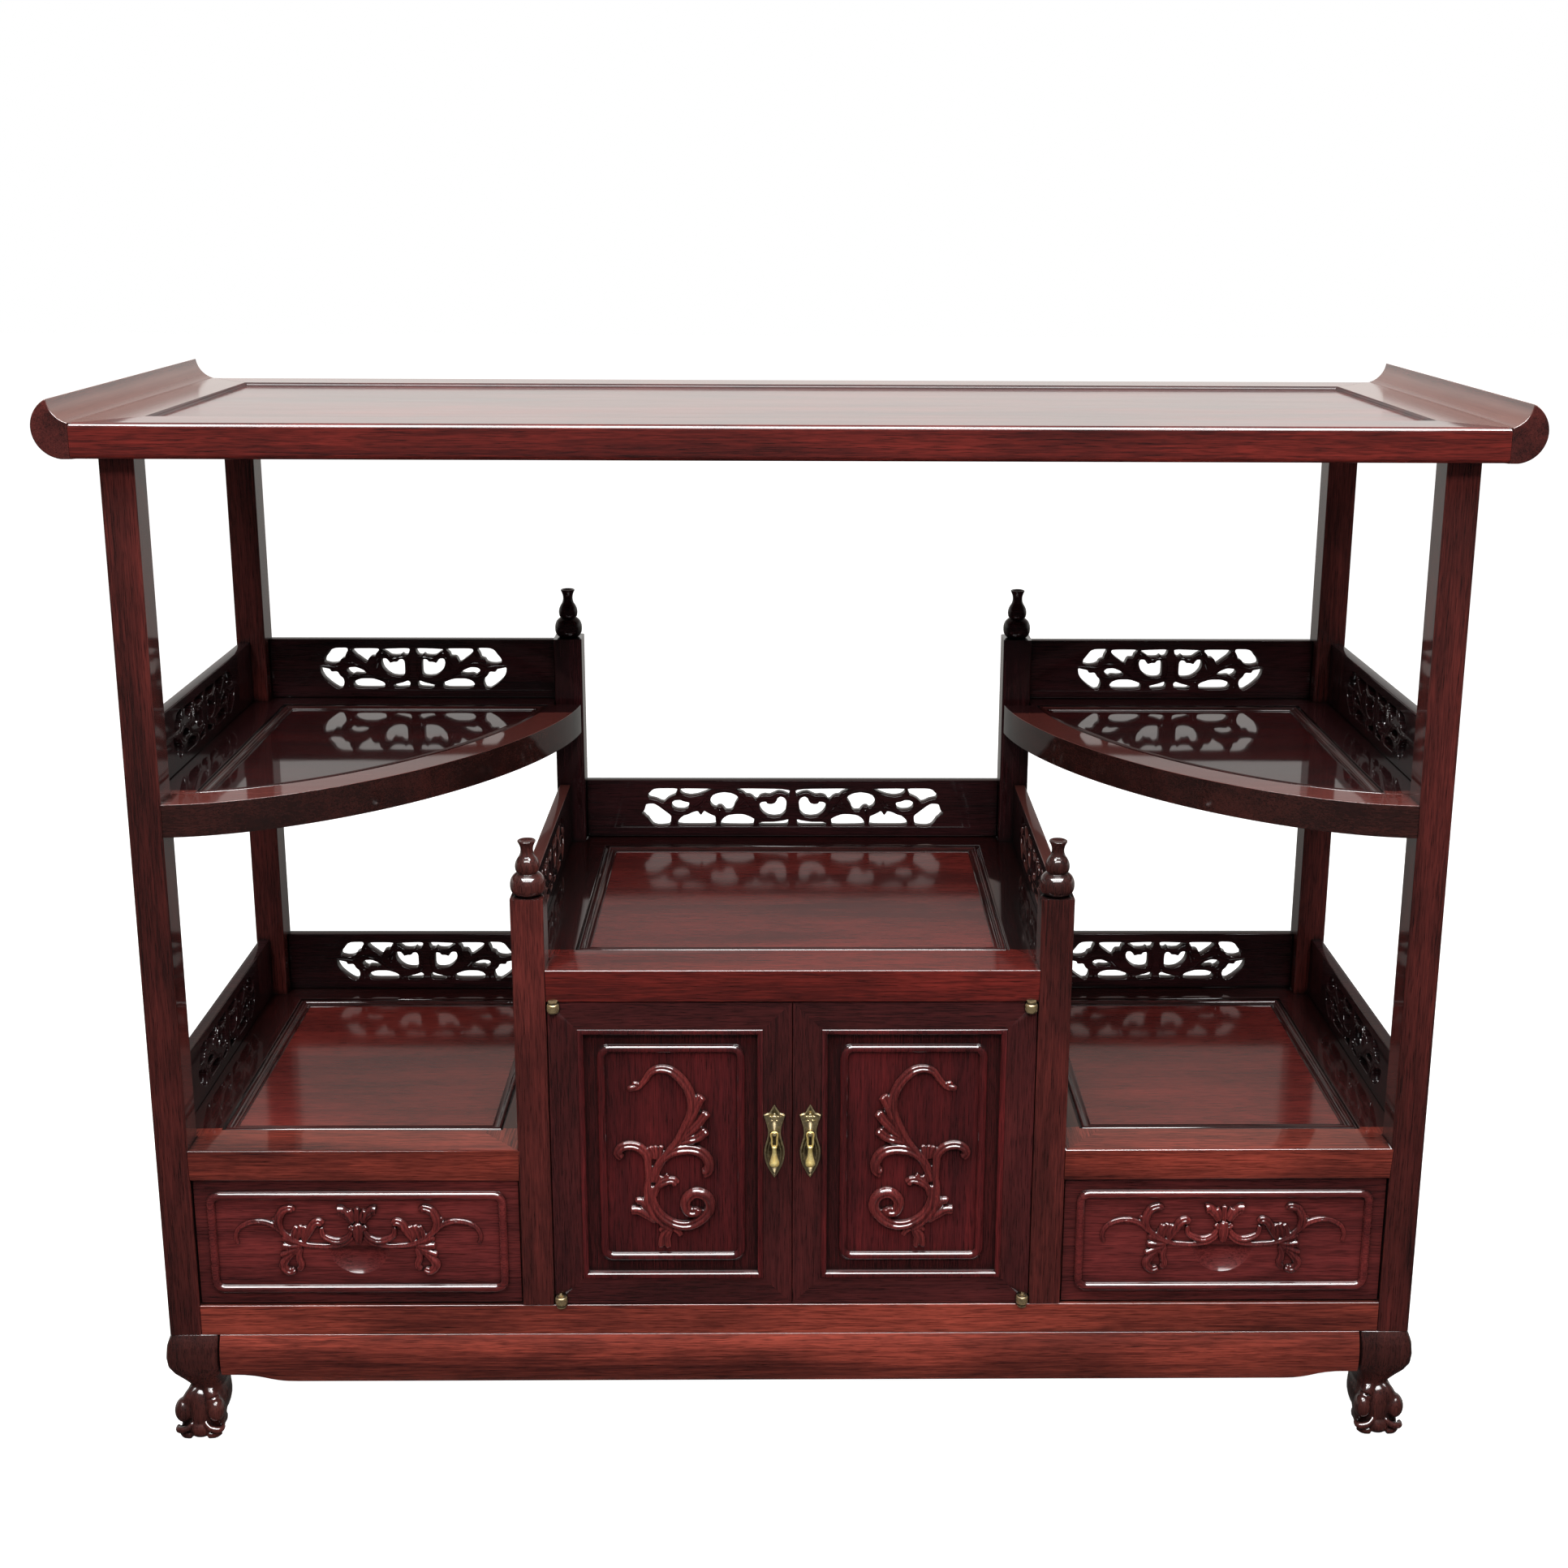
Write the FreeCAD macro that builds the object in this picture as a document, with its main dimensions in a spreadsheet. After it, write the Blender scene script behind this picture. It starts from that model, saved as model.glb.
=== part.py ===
import FreeCAD, Part
import math
import os
import re

# A stepped display cabinet in lacquered rosewood: an open frame of square posts under a long top with scroll
# ends, two fan-shaped shelves, a middle cabinet with two doors, and a drawer on each side, on claw feet.
# Millimetres, +Z up, +X to the viewer's right, front towards -Y, origin under the middle on the floor.

doc = FreeCAD.newDocument("display_cabinet")
sheet = doc.addObject("Spreadsheet::Sheet", "Sizes")

# Driving sizes.
SIZES = {
    # frame
    "cabinet_width": 1100,
    "cabinet_depth": 364,
    "post": 28,
    "post_round": 1.5,
    "rail_thick": 28.5,
    "bay_width": 419,
    # heights above the base
    "base_height": 104,
    "lower_shelf_rise": 178,
    "middle_top_rise": 344.5,
    "fan_shelf_rise": 491,
    "top_rise": 808.5,
    # top
    "top_overhang": 22,
    "top_end_overhang": 13.5,
    "top_rail_width": 48,
    "top_end_width": 44,
    "top_round": 4,
    "scroll_reach": 29,
    "scroll_rise": 18.5,
    "scroll_tip_in": 13.5,
    "scroll_foot": 7,
    "scroll_hollow": 2.6,
    # shelf frames
    "shelf_front_width": 39,
    "middle_front_width": 46,
    "shelf_side_width": 18,
    "middle_side_width": 21,
    "shelf_back_width": 40,
    "fan_rail_width": 32,
    "panel_thick": 9,
    "panel_drop": 3,
    "tongue": 5,
    "tongue_thick": 3,
    "tongue_gap": 0.15,
    "set_back": 2.5,
    # galleries
    "gallery_height": 60,
    "gallery_thick": 11,
    "fret_height": 42.5,
    "short_fret_length": 187,
    "long_fret_length": 308,
    "post_above_gallery": 3.5,
    # finials
    "finial_height": 48,
    "front_bulb_radius": 14.8,
    "back_bulb_radius": 13.2,
    "dowel_radius": 4,
    "dowel_length": 14,
    "dowel_gap": 0.1,
    # carcass
    "board": 9,
    "back_board": 6,
    "floor_drop": 4,
    "back_inset": 8,
    # doors
    "door_gap": 0.8,
    "meeting_gap": 0.8,
    "front_recess": 1,
    "door_thick": 20,
    "stile": 26,
    "door_panel_thick": 9,
    "door_panel_drop": 5,
    "door_bead_margin": 15,
    "meeting_relief": 1.2,
    "meeting_land": 8,
    "bead_width": 6.4,
    "bead_height": 2.6,
    "bead_corner": 9,
    "pivot_radius": 5.2,
    "pivot_height": 8.5,
    "pivot_stand_off": 1.5,
    "pivot_notch_gap": 0.3,
    "pivot_pin_radius": 1.8,
    "pivot_pin_length": 6,
    "pivot_pin_gap": 0.3,
    "pivot_plate_thick": 1.2,
    "pivot_plate_width": 8,
    "pivot_plate_length": 14,
    # pulls
    "pull_from_edge": 15.5,
    "pull_height": 70,
    "pull_width": 18.6,
    "pull_plate_thick": 1.4,
    "pull_centre_rise": 186.5,
    "pull_pin_radius": 1,
    "pull_pin_above": 10.5,
    "pull_pin_out": 6.5,
    "pull_ear_width": 1.6,
    "pull_ear_radius": 2.4,
    "pull_eye_width": 3.2,
    "pull_eye_gap": 0.35,
    "pull_drop_length": 33,
    "pull_bulb_radius": 4.4,
    "pull_side_gap": 0.4,
    # drawers
    "drawer_gap": 1.3,
    "drawer_front_thick": 20,
    "drawer_bead_margin": 11,
    "drawer_wall": 9,
    "drawer_floor": 5,
    "drawer_floor_up": 5,
    "drawer_length": 310,
    "drawer_side_height": 92,
    "runner_height": 6,
    "runner_width": 16,
    "running_gap": 0.3,
    "drawer_side_gap": 4,
    "scoop_half_width": 27,
    "scoop_depth": 10,
    "scoop_below_middle": 4,
    # base
    "knee_width": 44,
    "knee_reach": 6,
    "apron_height": 48,
    "apron_thick": 20,
    "apron_bulge": 6,
    "apron_tuck": 2,
    "apron_lift": 10,
    "apron_lift_start": 66,
    "apron_lift_end": 14,
}

# Places and lengths that follow from the driving sizes.
PLACES = {
    "half_width": "cabinet_width / 2",
    "front_face": "(top_overhang - cabinet_depth - knee_reach) / 2",
    "back_face": "front_face + cabinet_depth",
    "inner_face": "half_width - post",
    "bay_half": "bay_width / 2",
    "bay_outer": "bay_half + post",
    "side_bay": "inner_face - bay_outer",
    "between_posts": "cabinet_depth - 2 * post",
    "bottom_rail_top": "base_height + rail_thick",
    "lower_top": "base_height + lower_shelf_rise",
    "lower_under": "lower_top - rail_thick",
    "middle_top": "base_height + middle_top_rise",
    "middle_under": "middle_top - rail_thick",
    "panel_sunk": "panel_drop + panel_thick",
    "fan_top": "base_height + fan_shelf_rise",
    "fan_under": "fan_top - rail_thick",
    "slab_top": "base_height + top_rise",
    "slab_under": "slab_top - rail_thick",
    "slab_half": "half_width + top_end_overhang",
    "slab_front": "front_face - top_overhang",
    "slab_depth": "cabinet_depth + top_overhang",
    "outer_post_height": "slab_under - base_height",
    "front_post_height": "middle_top + gallery_height + post_above_gallery - bottom_rail_top",
    "back_post_height": "fan_top + gallery_height + post_above_gallery - bottom_rail_top",
    "floor_top": "bottom_rail_top - floor_drop",
    "gallery_back": "back_face - set_back - gallery_thick",
    "back_board_front": "back_face - back_inset - back_board",
    "door_bottom": "bottom_rail_top + door_gap",
    "door_height": "middle_under - bottom_rail_top - 2 * door_gap",
    "door_width": "bay_half - door_gap - meeting_gap / 2",
    "door_face": "front_face + front_recess",
    "door_pivot": "bay_half - door_gap - pivot_radius",
    "pivot_line": "door_face - pivot_stand_off",
    "drawer_width": "side_bay - 2 * drawer_gap",
    "drawer_height": "lower_under - bottom_rail_top - 2 * drawer_gap",
    "drawer_middle": "(inner_face + bay_outer) / 2",
    "runner_top": "floor_top + runner_height",
    "side_bottom": "runner_top + running_gap",
    "drawer_box_width": "side_bay - 2 * drawer_side_gap",
    "drawer_back_of_front": "door_face + drawer_front_thick",
    "scoop_radius": "(scoop_half_width * scoop_half_width + scoop_depth * scoop_depth) / (2 * scoop_depth)",
    "scoop_top": "bottom_rail_top + (lower_under - bottom_rail_top) / 2 - scoop_below_middle",
}

row = 0
for name, number in SIZES.items():
    row += 1
    sheet.set("A%d" % row, name)
    sheet.set("B%d" % row, str(number))
    sheet.setAlias("B%d" % row, name)
for name, formula in PLACES.items():
    row += 1
    sheet.set("A%d" % row, name)
    sheet.set("B%d" % row, "=" + formula)
    sheet.setAlias("B%d" % row, name)
doc.recompute()

X = FreeCAD.Vector(1, 0, 0)
Y = FreeCAD.Vector(0, 1, 0)
Z = FreeCAD.Vector(0, 0, 1)

# Shapes of the pierced work, as shares of the fret's half length (0 at its middle) and of its height.
# Each row is the corners of one hole in one half; the other half mirrors it.
SHORT_FRET_SHARES = [
    [(0.96, 0.66), (0.86, 0.92), (0.79, 1.00), (0.69, 0.98), (0.72, 0.75), (0.77, 0.62), (0.86, 0.56)],
    [(0.65, 0.98), (0.37, 0.98), (0.41, 0.79), (0.46, 0.75), (0.49, 0.61), (0.62, 0.77)],
    [(0.33, 0.98), (0.04, 0.98), (0.04, 0.81), (0.12, 0.86), (0.21, 0.80), (0.31, 0.88)],
    [(0.35, 0.67), (0.26, 0.60), (0.21, 0.67), (0.14, 0.76), (0.08, 0.72), (0.07, 0.38), (0.14, 0.26),
     (0.22, 0.29)],
    [(1.00, 0.52), (0.88, 0.43), (0.80, 0.39), (0.73, 0.23), (0.74, 0.06), (0.80, 0.00), (0.86, 0.06),
     (0.91, 0.25)],
    [(0.71, 0.46), (0.65, 0.54), (0.58, 0.52), (0.47, 0.38), (0.66, 0.31)],
    [(0.66, 0.10), (0.58, 0.23), (0.48, 0.26), (0.30, 0.18), (0.30, 0.03), (0.63, 0.03)],
    [(0.24, 0.12), (0.15, 0.16), (0.05, 0.22), (0.04, 0.04), (0.23, 0.03)],
]
LONG_FRET_SHARES = [
    [(0.96, 0.80), (0.93, 0.98), (0.77, 0.99), (0.77, 0.79), (0.85, 0.66)],
    [(0.74, 0.98), (0.52, 0.99), (0.56, 0.88), (0.69, 0.82), (0.74, 0.84)],
    [(0.81, 0.59), (0.77, 0.69), (0.68, 0.68), (0.68, 0.50), (0.77, 0.45)],
    [(1.00, 0.38), (0.97, 0.60), (0.92, 0.60), (0.87, 0.48), (0.80, 0.30), (0.81, 0.05), (0.90, 0.05),
     (0.95, 0.18)],
    [(0.77, 0.06), (0.75, 0.18), (0.70, 0.30), (0.62, 0.36), (0.52, 0.34), (0.51, 0.05)],
    [(0.56, 0.62), (0.50, 0.84), (0.42, 0.90), (0.35, 0.76), (0.38, 0.47), (0.45, 0.42), (0.49, 0.54)],
    [(0.48, 0.06), (0.45, 0.30), (0.36, 0.39), (0.28, 0.34), (0.24, 0.19), (0.27, 0.05)],
    [(0.38, 0.98), (0.03, 0.99), (0.03, 0.85), (0.08, 0.89), (0.14, 0.83), (0.28, 0.79)],
    [(0.23, 0.51), (0.21, 0.68), (0.12, 0.64), (0.09, 0.78), (0.04, 0.76), (0.03, 0.36), (0.09, 0.27),
     (0.17, 0.31)],
    [(0.23, 0.13), (0.12, 0.18), (0.03, 0.15), (0.03, 0.04), (0.22, 0.04)],
]
HOLE_CORNER_SHARE = 0.36

# The fan shelf's front is a flattened quarter ellipse: both its waves are raised to this power.
FAN_POWER = 1.2
FAN_POINTS = 11

# A finial's outline from its foot up: shares of the bulb's radius and of the finial's height.
FINIAL_SHARES = [
    (0.72, 0.00), (0.98, 0.10), (1.00, 0.20), (0.84, 0.33), (0.46, 0.40), (0.66, 0.47), (0.66, 0.57),
    (0.44, 0.68), (0.28, 0.79), (0.32, 0.88), (0.48, 0.97), (0.46, 1.00),
]
FINIAL_JOINT_SHARE = 0.40

# A leg's section at rising heights: shares of the base's height, of the knee's width for the inner side
# (0 at the carcass's corner, -1 at the knee's inner face), of the knee's reach for the outer side, and the
# corner's rounding as a share of the section's own width.
LEG_SHARES = [
    (0.00, -0.84, 0.20, 0.30),
    (0.08, -0.93, 0.78, 0.34),
    (0.21, -0.95, 0.88, 0.36),
    (0.33, -0.86, -0.40, 0.36),
    (0.43, -0.78, -1.50, 0.34),
    (0.54, -0.86, -0.60, 0.26),
    (0.63, -1.02, 0.45, 0.16),
    (0.80, -1.02, 0.92, 0.12),
    (0.92, -1.02, 0.76, 0.10),
    (1.00, -1.02, 0.10, 0.08),
]

# The brass plate's half outline from its top tip: shares of its half width and of its height.
PLATE_SHARES = [
    (0.00, 1.00), (0.30, 0.90), (1.00, 0.86), (0.72, 0.78), (0.52, 0.66), (0.78, 0.54),
    (0.96, 0.38), (0.80, 0.20), (0.30, 0.08), (0.00, 0.00),
]
# The drop's half outline below its eye: shares of its bulb's radius and of its length.
DROP_SHARES = [(0.34, 0.10), (0.30, 0.30), (0.42, 0.55), (0.85, 0.74), (1.00, 0.86), (0.70, 0.97), (0.00, 1.00)]


def cell(word):
    return float(sheet.get(word))


def bound(formula):
    return re.sub(r"[a-z]\w+", lambda found: "Sizes." + found.group(), formula)


def bind(thing, **formulas):
    for prop, formula in formulas.items():
        thing.setExpression(prop, bound(formula))


def bind_base(thing, corner):
    for axis, formula in zip("xyz", corner):
        thing.setExpression("Placement.Base." + axis, bound(formula))


def new_body(label):
    body = doc.addObject("PartDesign::Body", label)
    body.Label = label
    return body


def add_block(body, corner, size, cut=False):
    kind = "PartDesign::SubtractiveBox" if cut else "PartDesign::AdditiveBox"
    block = body.newObject(kind, body.Name + ("_cut" if cut else "_block"))
    bind(block, Length=size[0], Width=size[1], Height=size[2])
    bind_base(block, corner)
    return block


def add_mitred(body, corner, along, inward, sizes, ends):
    """A rail whose inner edge is shorter than its outer edge by ends, for a mitred frame."""
    length, width, thick = sizes
    rail = body.newObject("PartDesign::AdditiveWedge", body.Name + "_rail")
    turn = FreeCAD.Rotation(along, inward, along.cross(inward), "ZXY")
    rail.Placement = FreeCAD.Placement(FreeCAD.Vector(), turn)
    bind(rail, Xmin="0", Ymin="0", Zmin="0", Z2min="0")
    bind(rail, Xmax=length, Ymax=width, Zmax=thick, Z2max=thick)
    bind(rail, X2min=ends[0], X2max="(%s) - (%s)" % (length, ends[1]))
    bind_base(rail, corner)
    return rail


def round_edges(body, size, chosen):
    """Fillets the edges of the body's tip that the test picks."""
    doc.recompute()
    tip = body.Tip
    names = ["Edge%d" % (n + 1) for n, edge in enumerate(tip.Shape.Edges) if chosen(edge)]
    fillet = body.newObject("PartDesign::Fillet", body.Name + "_round")
    fillet.Base = (tip, names)
    bind(fillet, Radius=size)
    return fillet


def runs_along(edge, axis):
    direction = edge.Vertexes[-1].Point - edge.Vertexes[0].Point
    return direction.Length > 0 and abs(direction.normalize().dot(axis)) > 0.999


def group(label, members):
    whole = doc.addObject("Part::Compound", label)
    whole.Label = label
    whole.Links = members
    nodes.append(whole)
    return whole


def feature(label, shape):
    piece = doc.addObject("Part::Feature", label)
    piece.Label = label
    piece.Shape = shape
    return piece


def plain_block(label, corner, size):
    body = new_body(label)
    add_block(body, corner, size)
    return body


nodes = []
SIDES = {"left": -1, "right": 1}


def edge_of(side, near, far):
    """The lower x of a span that runs from near to far on one side of the middle."""
    return "-(%s)" % far if side < 0 else near


def mitred_frame(label, low, span, widths, thick, upright=False, groove=None):
    """Four mitred members round an opening, lying flat, or standing up and facing -Y when upright.

    low is the frame's lowest corner, span its two outer lengths, and widths the members' own: first side,
    last side, low side and high side. groove is a block cut from each member for the panel's tongue.
    """
    x_low, across, x_high = low[0], low[2] if upright else low[1], "(%s) + (%s)" % (low[0], span[0])
    high = "(%s) + (%s)" % (across, span[1])
    left, right, bottom, top = widths
    up = Z if upright else Y
    facing = Y if upright else Z
    members = [
        ("left", X, span[1], left, x_low, across, high, (bottom, top)),
        ("right", -X, span[1], right, x_high, across, high, (bottom, top)),
        ("low", up, span[0], bottom, across, x_low, x_high, (left, right)),
        ("high", -up, span[0], top, high, x_low, x_high, (left, right)),
    ]
    pieces = []
    for place, inward, length, width, outer, start, end, ends in members:
        along = inward.cross(facing)
        backwards = along.x + along.y + along.z < 0
        begin = end if backwards else start
        if backwards:
            ends = (ends[1], ends[0])
        flat = (outer, begin) if place in ("left", "right") else (begin, outer)
        corner = (flat[0], low[1], flat[1]) if upright else (flat[0], flat[1], low[2])
        body = new_body("%s_%s" % (label, place))
        add_mitred(body, corner, along, inward, (length, width, thick), ends)
        if groove:
            add_block(body, groove[0], groove[1], cut=True)
        pieces.append(body)
    return pieces


def grown(corner, size, growth, axes):
    """A block widened on both ends of the given axes."""
    new_corner = tuple("(%s) - (%s)" % (c, growth) if n in axes else c for n, c in enumerate(corner))
    new_size = tuple("(%s) + 2 * (%s)" % (s, growth) if n in axes else s for n, s in enumerate(size))
    return new_corner, new_size


def tongued_panel(label, corner, size):
    """A panel that fills a frame's opening, with a thin tongue all round for the frame's groove."""
    body = new_body(label)
    add_block(body, corner, size)
    tongue_corner, tongue_size = tongue_block(corner, size, "tongue", "0")
    add_block(body, tongue_corner, tongue_size)
    nodes.append(body)
    return body


def tongue_block(corner, size, reach, slack):
    """The tongue's own block, or with slack the groove it sits in."""
    middle = "(%s) + ((%s) - tongue_thick) / 2 - (%s)" % (corner[2], size[2], slack)
    flat = (corner[0], corner[1], middle), (size[0], size[1], "tongue_thick + 2 * (%s)" % slack)
    return grown(flat[0], flat[1], reach, (0, 1))


def groove_for(corner, size):
    return tongue_block(corner, size, "tongue + tongue_gap", "tongue_gap")


def make_posts():
    """Outer posts run from the base to the top; inner posts stand on the bottom frame."""
    for side_name, side in SIDES.items():
        outer_x = edge_of(side, "inner_face", "half_width")
        inner_x = edge_of(side, "bay_half", "bay_outer")
        front, back = "front_face", "back_face - post"
        for name, x, y, z, height in (
            ("front_%s_post" % side_name, outer_x, front, "base_height", "outer_post_height"),
            ("back_%s_post" % side_name, outer_x, back, "base_height", "outer_post_height"),
            ("inner_front_%s_post" % side_name, inner_x, front, "bottom_rail_top", "front_post_height"),
            ("inner_back_%s_post" % side_name, inner_x, back, "bottom_rail_top", "back_post_height"),
        ):
            body = plain_block(name, (x, y, z), ("post", "post", height))
            round_edges(body, "post_round", lambda edge: runs_along(edge, Z))
            if name.startswith("inner"):
                add_dowel_hole(body, x, y, "(%s) + (%s)" % (z, height))
            nodes.append(body)


def add_dowel_hole(body, x, y, top):
    hole = body.newObject("PartDesign::SubtractiveCylinder", body.Name + "_hole")
    bind(hole, Radius="dowel_radius + dowel_gap", Height="dowel_length + dowel_gap")
    bind_base(hole, (x + " + post / 2", y + " + post / 2", top + " - dowel_length - dowel_gap"))


def make_top():
    """A mitred frame with a floating panel, and a scroll end along each short side."""
    low = ("-slab_half", "slab_front", "slab_under")
    span = ("2 * slab_half", "slab_depth")
    corner = ("-slab_half + top_end_width", "slab_front + top_rail_width", "slab_top - panel_sunk")
    size = ("2 * (slab_half - top_end_width)", "slab_depth - 2 * top_rail_width", "panel_thick")
    widths = ("top_end_width", "top_end_width", "top_rail_width", "top_rail_width")
    groove = groove_for(corner, size)
    left, right, front, back = mitred_frame("top", low, span, widths, "rail_thick", groove=groove)
    for body, name, face in ((front, "top_front_rail", "slab_front"), (back, "top_back_rail", "back_face")):
        body.Label = name
        line = cell(face)

        def outer_edge(edge):
            return runs_along(edge, X) and abs(edge.CenterOfMass.y - line) < 0.01

        round_edges(body, "top_round", outer_edge)
        nodes.append(body)
    group("top_end_rails", [left, right])
    tongued_panel("top_panel", corner, size)
    for side_name, side in SIDES.items():
        make_scroll_end(side_name + "_scroll_end", side)


def make_scroll_end(label, side):
    """The section rises in a hollow from the top's face to its tip, then rounds over and back under."""
    thick, rise, reach = cell("rail_thick"), cell("scroll_rise"), cell("scroll_reach")
    tip_out, foot = reach - cell("scroll_tip_in"), cell("scroll_foot")
    base_x, under, front = cell("slab_half"), cell("slab_under"), cell("slab_front")
    hollow = cell("scroll_hollow")

    def point(out, up):
        return FreeCAD.Vector(side * (base_x + out), front, under + up)

    start, tip, low = point(0, thick), point(tip_out, thick + rise), point(foot, 0)
    hollow_middle = point(tip_out / 2 + hollow, thick + rise / 2 - hollow)
    outermost = point(reach, (thick + rise) / 2)
    edges = [
        Part.Arc(start, hollow_middle, tip).toShape(),
        Part.Arc(tip, outermost, low).toShape(),
        Part.LineSegment(low, point(0, 0)).toShape(),
        Part.LineSegment(point(0, 0), start).toShape(),
    ]
    solid = Part.Face(Part.Wire(edges)).extrude(Y * cell("slab_depth"))
    nodes.append(feature(label, solid))


def make_shelf(label, x_low, width, top, front_width, side_width, filled):
    """A shelf between posts: a mitred frame flush with the posts' faces, and a panel in it.

    The members named in filled also fill the space between the two posts beside them.
    """
    low = (x_low, "front_face", top + " - rail_thick")
    corner = (x_low + " + " + side_width, "front_face + " + front_width, top + " - panel_sunk")
    deep = "cabinet_depth - shelf_back_width - " + front_width
    size = ("%s - 2 * %s" % (width, side_width), deep, "panel_thick")
    widths = (side_width, side_width, front_width, "shelf_back_width")
    members = mitred_frame(label + "_frame", low, (width, "cabinet_depth"), widths, "rail_thick",
                           groove=groove_for(corner, size))
    for place in filled:
        x = x_low + (" - post + set_back" if place == "left" else " + " + width)
        body = members[0 if place == "left" else 1]
        add_block(body, (x, "front_face + post", low[2]), ("post - set_back", "between_posts", "rail_thick"))
    group(label + "_frame", members)
    tongued_panel(label + "_panel", corner, size)
    return members


def make_shelves():
    """Two low shelves beside the middle cabinet, and that cabinet's own top."""
    for side_name, side in SIDES.items():
        x = edge_of(side, "bay_outer", "inner_face")
        make_shelf(side_name + "_shelf", x, "side_bay", "lower_top", "shelf_front_width", "shelf_side_width",
                   (side_name,))
        make_fan_shelf(side_name, side)
    members = make_shelf("middle_top", "-bay_half", "bay_width", "middle_top", "middle_front_width",
                         "middle_side_width", ("left", "right"))
    for side, end in zip(SIDES.values(), members):
        cut_hinge_seat(members[2], side, "middle_under")
        cut_hinge_seat(end, side, "middle_under")


def cut_hinge_seat(body, side, level):
    """A shallow seat in the front rail for a hinge plate that lies flush from level inwards."""
    x = edge_of(side, "door_pivot - pivot_plate_width / 2", "door_pivot + pivot_plate_width / 2")
    z = level if level == "middle_under" else level + " - pivot_plate_thick"
    size = ("pivot_plate_width", "pivot_plate_length", "pivot_plate_thick")
    add_block(body, (x, "front_face", z), size, cut=True)


def fan_curve(side, inset):
    """The fan shelf's front edge, moved in from the outside by inset, as one smooth edge."""
    reach = cell("inner_face") - cell("bay_half") - inset
    depth = cell("cabinet_depth") - cell("post") - inset
    centre_x, centre_y = cell("inner_face"), cell("back_face") - cell("post")
    points = []
    for step in range(FAN_POINTS):
        turn = math.pi / 2 * step / (FAN_POINTS - 1)
        across = reach * math.sin(turn) ** FAN_POWER
        forward = depth * math.cos(turn) ** FAN_POWER if step < FAN_POINTS - 1 else 0.0
        points.append(FreeCAD.Vector(side * (centre_x - across), centre_y - forward, 0))
    curve = Part.BSplineCurve()
    curve.interpolate(points)
    return curve.toShape(), points[0], points[-1]


def fan_region(side, inset, side_x, back_y, low, high):
    """The area behind the fan's front edge, out to side_x and back to back_y, as a solid from low to high."""
    curve, first, last = fan_curve(side, inset)
    corners = [
        last,
        FreeCAD.Vector(last.x, back_y, 0),
        FreeCAD.Vector(side * side_x, back_y, 0),
        FreeCAD.Vector(side * side_x, first.y, 0),
        first,
    ]
    edges = [curve]
    for begin, end in zip(corners, corners[1:]):
        if begin.distanceToPoint(end) > 1e-6:
            edges.append(Part.LineSegment(begin, end).toShape())
    solid = Part.Face(Part.Wire(edges)).extrude(Z * (high - low))
    solid.translate(Z * low)
    return solid


def side_box(side, near, far, front, back, low, high):
    """A block on one side of the middle, from near to far across it."""
    start = near if side > 0 else -far
    return Part.makeBox(far - near, back - front, high - low, FreeCAD.Vector(start, front, low))


def make_fan_shelf(side_name, side):
    """A quarter-round shelf: a curved front rail, a side rail and a back rail round a tongued panel."""
    low, high = cell("fan_under"), cell("fan_top")
    front, back, post = cell("front_face"), cell("back_face"), cell("post")
    inner, outer, bay = cell("inner_face"), cell("half_width"), cell("bay_outer")
    side_x, back_y = inner - cell("shelf_side_width"), back - cell("shelf_back_width")
    rail, tongue, gap = cell("fan_rail_width"), cell("tongue"), cell("tongue_gap")
    panel_top = high - cell("panel_drop")
    panel_low = panel_top - cell("panel_thick")
    tongue_low = (panel_top + panel_low - cell("tongue_thick")) / 2
    tongue_high = tongue_low + cell("tongue_thick")

    def inside(inset, spread, bottom, top):
        """The shelf's opening, moved out by spread behind a front edge moved in by inset."""
        area = fan_region(side, inset, inner, back - post, bottom, top)
        return area.common(side_box(side, 0, side_x + spread, front, back_y + spread, bottom, top))

    ring = fan_region(side, 0, inner, back - post, low, high).cut(
        fan_region(side, rail, inner, back - post, low, high))
    curved = ring.common(side_box(side, 0, inner, front, back_y, low, high))
    side_rail = side_box(side, side_x, inner, front, back, low, high)
    filler = side_box(side, inner, outer - cell("set_back"), front + post, back - post, low, high)
    side_rail = side_rail.fuse(filler)
    back_rail = side_box(side, bay, side_x, back_y, back, low, high)
    groove = inside(rail - tongue - gap, tongue + gap, tongue_low - gap, tongue_high + gap)
    members = []
    for name, shape in (("rail", curved), ("side", side_rail.cut(curved)), ("back", back_rail)):
        shape = one_solid(shape.cut(groove))
        members.append(feature("%s_fan_%s" % (side_name, name), shape))
    group(side_name + "_fan_frame", members)
    panel = inside(rail, 0, panel_low, panel_top).fuse(inside(rail - tongue, tongue, tongue_low, tongue_high))
    nodes.append(feature(side_name + "_fan_panel", one_solid(panel)))


def one_solid(shape):
    """The shape's largest solid with its split faces joined."""
    return max(shape.removeSplitter().Solids, key=lambda solid: solid.Volume)


def rounded_outline(corners):
    """A closed wire through straight runs, with each corner taken off by a short curve."""
    edges = []
    count = len(corners)
    for index in range(count):
        before, corner, after = corners[index - 1], corners[index], corners[(index + 1) % count]
        further = corners[(index + 2) % count]
        start = corner + (before - corner) * HOLE_CORNER_SHARE
        end = corner + (after - corner) * HOLE_CORNER_SHARE
        curve = Part.BezierCurve()
        curve.setPoles([start, corner, end])
        edges.append(curve.toShape())
        edges.append(Part.LineSegment(end, after + (corner - after) * HOLE_CORNER_SHARE).toShape())
    return Part.Wire(edges)


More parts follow.
